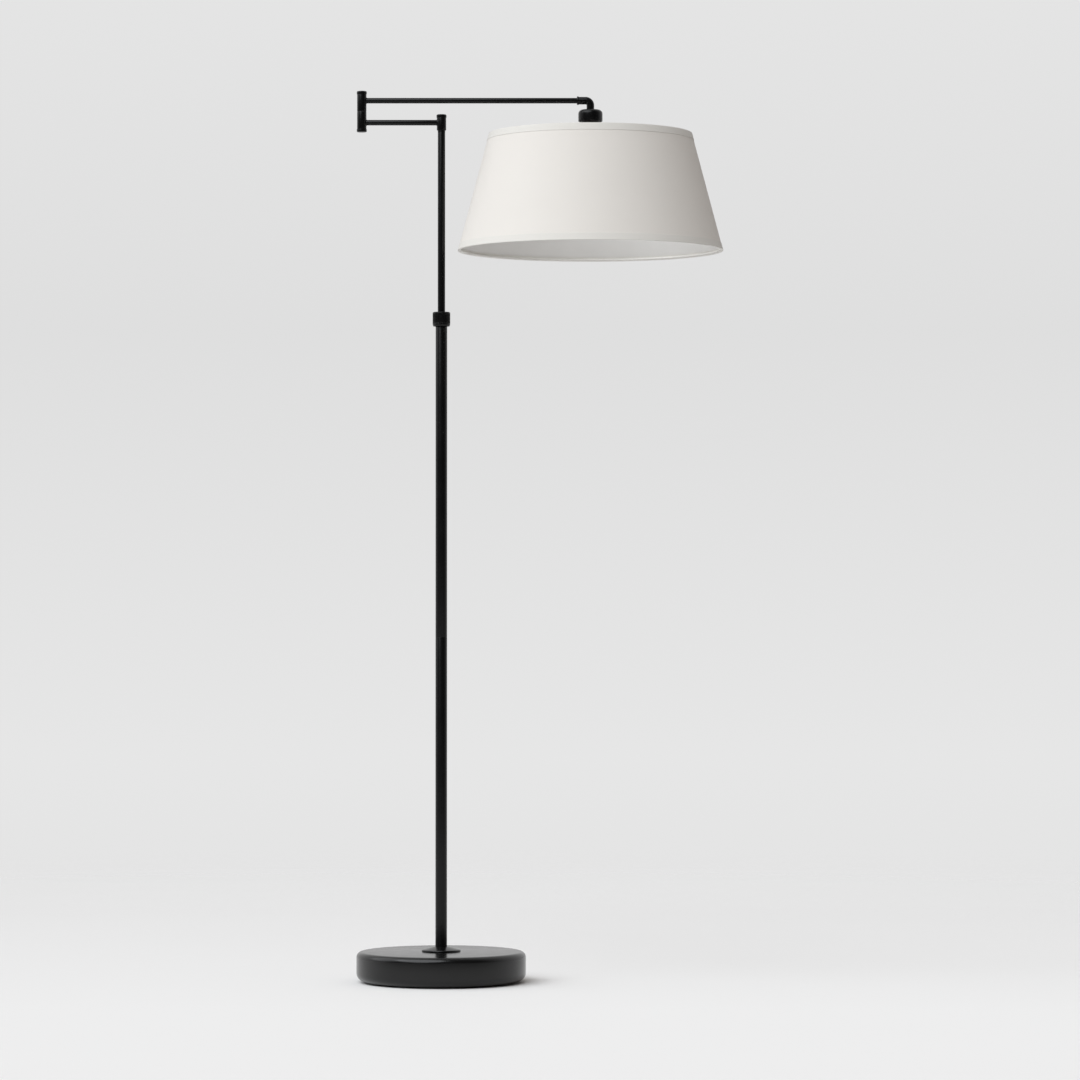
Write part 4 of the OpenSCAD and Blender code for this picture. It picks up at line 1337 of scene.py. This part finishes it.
def clothMap(piece, axis):
    # UV map in metres: the cone rolled out flat, with its middle at the front and its cut at the back
    layer = piece.data.uv_layers.new(name="cloth")
    tilt = math.atan(shadeSlope)
    apex = shadeBottom + shadeRadius(shadeBottom) / shadeSlope
    for face in piece.data.polygons:
        middle = math.atan2(face.center.x - axis[0], -(face.center.y - axis[1]))
        for loop in face.loop_indices:
            spot = piece.data.vertices[piece.data.loops[loop].vertex_index].co
            angle = math.atan2(spot.x - axis[0], -(spot.y - axis[1]))
            while angle - middle > math.pi:
                angle -= 2 * math.pi
            while middle - angle > math.pi:
                angle += 2 * math.pi
            reach = math.hypot(math.hypot(spot.x - axis[0], spot.y - axis[1]), apex - spot.z)
            flatAngle = angle * math.sin(tilt)
            layer.data[loop].uv = (reach * math.sin(flatAngle), -reach * math.cos(flatAngle))


def coneBand(name, outer, thickness, low, high, rows):
    # a ring of the cone: outer is how far its outer face lies outside the cloth's
    outline = [(shadeRadius(height) + outer, height, 0) for height in steps(low, high, rows)]
    outline += [(shadeRadius(height) + outer - thickness, height, 0) for height in steps(high, low, rows)]
    return turned(name, outline, shadeAt, shadeSizes["sides"])


def makeShadeCloth():
    low = shadeBottom + shadeSizes["clothEdge"]
    high = shadeTop - shadeSizes["clothEdge"]
    cloth = coneBand("shadeLinen", 0, shadeSizes["linen"], low, high, shadeSizes["rows"])
    clothMap(cloth, shadeAt)
    finished(cloth, "long_arm", "shadeLinen", "shade_cone")

    under = -shadeSizes["linen"] - shadeSizes["contact"]
    liner = coneBand("shadeLiner", under, shadeSizes["liner"], low, high, 2)
    finished(liner, "long_arm", "liner")

    half = math.radians(shadeSizes["lapAngle"]) / 2
    lap = coneBand("shadeLap", shadeSizes["lapRise"], shadeSizes["lapRise"] + shadeSizes["lapOverlap"],
        shadeBottom + shadeSizes["hem"], shadeTop - shadeSizes["hem"], 4)
    edit(lap)
    for side in (-1, 1):
        bpy.ops.mesh.select_all(action="SELECT")
        bpy.ops.mesh.bisect(
            plane_co=(shadeAt[0], 0, 0), plane_no=(side * math.cos(half), -math.sin(half), 0),
            clear_outer=True, use_fill=True)
    bpy.ops.object.mode_set(mode="OBJECT")
    clothMap(lap, shadeAt)
    smooth(lap, 25)
    finished(lap, "long_arm", "shadeLinen")
    return cloth, lap


def declareCloth():
    # the linen is cut as a ring sector: its flat box and area follow from the cone
    slant = math.hypot(shadeRadius(shadeBottom) - shadeRadius(shadeTop), shadeTop - shadeBottom)
    taper = (shadeRadius(shadeBottom) - shadeRadius(shadeTop)) / slant
    outer = shadeRadius(shadeBottom) / taper
    inner = shadeRadius(shadeTop) / taper
    half = math.pi * taper
    width = 2 * outer * math.sin(half)
    length = outer - inner * math.cos(half)
    area = half * (outer ** 2 - inner ** 2)
    print("linen cut to", round(width, 3), "x", round(length, 3), "m, area", round(area, 4))


def makeHem(name, node, edge, inward):
    # tape folded over a rim: a band outside, a rounded fold over the edge and a return that covers the wire
    thickness = shadeSizes["hemThickness"]
    band = shadeSizes["hem"]
    wall = shadeSizes["linen"] + shadeSizes["liner"] + 0.1 * mm
    puff = 2 * shadeSizes["wire"] + 0.35 * mm
    outside = [(thickness * 0.35, band)]    # how far outside the cloth's face, and how far in from the rim
    for share in (0.02, 0.35, 0.7, 0.93):
        outside.append((thickness, band * (1 - share)))
    fold = [
        (thickness * 0.92, 0.35 * mm),
        (thickness * 0.35, 0.05 * mm),
        (-wall * 0.5, 0.0),
        (-wall - puff * 0.45, 0.1 * mm),
        (-wall - puff * 0.85, 0.8 * mm),
        (-wall - puff, 1.9 * mm),
        (-wall - puff * 0.86, 3.2 * mm),
        (-wall - puff * 0.45, 4.3 * mm),
        (-wall - thickness, 5.2 * mm),
        (-wall - thickness, 7.2 * mm),
        (-wall + shadeSizes["contact"], 7.4 * mm),
    ]
    back = [
        (-wall + shadeSizes["contact"], 0.62 * mm),
        (0.04 * mm, 0.62 * mm),
        (0.04 * mm, band),
    ]
    outline = []
    for away, up in outside + fold + back:
        height = edge + inward * up
        outline.append((shadeRadius(height) + away, height, 0))
    hem = turned(name, outline, shadeAt, shadeSizes["sides"])
    smooth(hem, 50)
    clothMap(hem, shadeAt)
    finished(hem, "long_arm", "hemLinen", node)
    return hem


def makeRimWire(name, node):
    low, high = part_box(node)
    wire = shadeSizes["wire"]
    deselectAll()
    bpy.ops.mesh.primitive_torus_add(
        major_segments=shadeSizes["sides"], minor_segments=16, minor_radius=wire,
        major_radius=(high.x - low.x) / 2 - wire, location=(shadeAt[0], 0, (low.z + high.z) / 2))
    ring = bpy.context.object
    ring.name = name
    bpy.ops.object.transform_apply(location=True)
    smooth(ring, 60)
    finished(ring, "long_arm", "whiteWire", node)


fitterSizes = {
    "spoke": 1.8 * mm,
    "spokeLap": 7 * mm,      # how far a spoke reaches in over the plate
    "firstBend": ((9 * mm, 0), (13 * mm, 0.5 * mm)),    # out from the spoke's start, and up
    "lastBend": (5 * mm, 0.3 * mm),                     # in from its end, and down
    "spokes": 3,
    "firstTurn": 60,
    "plate": 1.6 * mm,
    "plateRadius": 27 * mm,
    "hole": 16.6 * mm,
}


def makeSpoke(name, start, end, turn):
    # a wire that lies on the centre ring, is bent up and runs out to the rim wire
    radius = fitterSizes["spoke"]
    deselectAll()
    bpy.ops.mesh.primitive_circle_add(vertices=20, radius=radius, fill_type="NGON", rotation=alongX,
        location=(start[0], 0, start[1]))
    spoke = bpy.context.object
    spoke.name = name
    bpy.ops.object.transform_apply(location=True, rotation=True)
    bpy.ops.object.mode_set(mode="EDIT")
    route = [(start[0] + out, start[1] + up) for out, up in fitterSizes["firstBend"]]
    route += [(end[0] - fitterSizes["lastBend"][0], end[1] - fitterSizes["lastBend"][1]), end]
    last = start
    for spot in route:
        bpy.ops.mesh.extrude_region_move(
            TRANSFORM_OT_translate={"value": (spot[0] - last[0], 0, spot[1] - last[1])})
        last = spot
    bpy.ops.mesh.select_all(action="SELECT")
    bpy.ops.mesh.normals_make_consistent(inside=False)
    bpy.ops.object.mode_set(mode="OBJECT")
    place(spoke, turn=(0, 0, turn))
    return spoke


def makeFitter():
    plateLow = upright("ring_nut")[3]
    plateHigh = plateLow + fitterSizes["plate"]
    plate = turned("fitterPlate", [
        (fitterSizes["hole"], plateLow, crisp),
        (fitterSizes["plateRadius"], plateLow, 0.35 * mm),
        (fitterSizes["plateRadius"], plateHigh, 0.35 * mm),
        (fitterSizes["hole"], plateHigh, crisp),
    ], sides=96)
    parts = [plate]
    wireLow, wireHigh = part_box("shade_top_wire")
    rim = (wireHigh.x - wireLow.x) / 2 - 2 * shadeSizes["wire"]
    wireMid = (wireLow.z + wireHigh.z) / 2
    middle = (plateLow + plateHigh) / 2
    for index in range(fitterSizes["spokes"]):
        turn = fitterSizes["firstTurn"] + index * 360 / fitterSizes["spokes"]
        start = (fitterSizes["plateRadius"] - fitterSizes["spokeLap"], middle)
        parts.append(makeSpoke("spoke", start, (rim, wireMid), turn))
    for part in parts:
        place(part, to=(shadeAt[0], 0, 0))
    fitter = joined("shadeFitter", parts)
    smooth(fitter, 40)
    finished(fitter, "long_arm", "whiteWire", "shade_fitter")


shadeCloth, shadeLap = makeShadeCloth()
topHem = makeHem("shadeTopHem", "shade_top_hem", shadeTop, -1)
bottomHem = makeHem("shadeBottomHem", "shade_bottom_hem", shadeBottom, 1)
declareCloth()
makeRimWire("shadeTopWire", "shade_top_wire")
makeRimWire("shadeBottomWire", "shade_bottom_wire")
makeFitter()
print("shade ready")
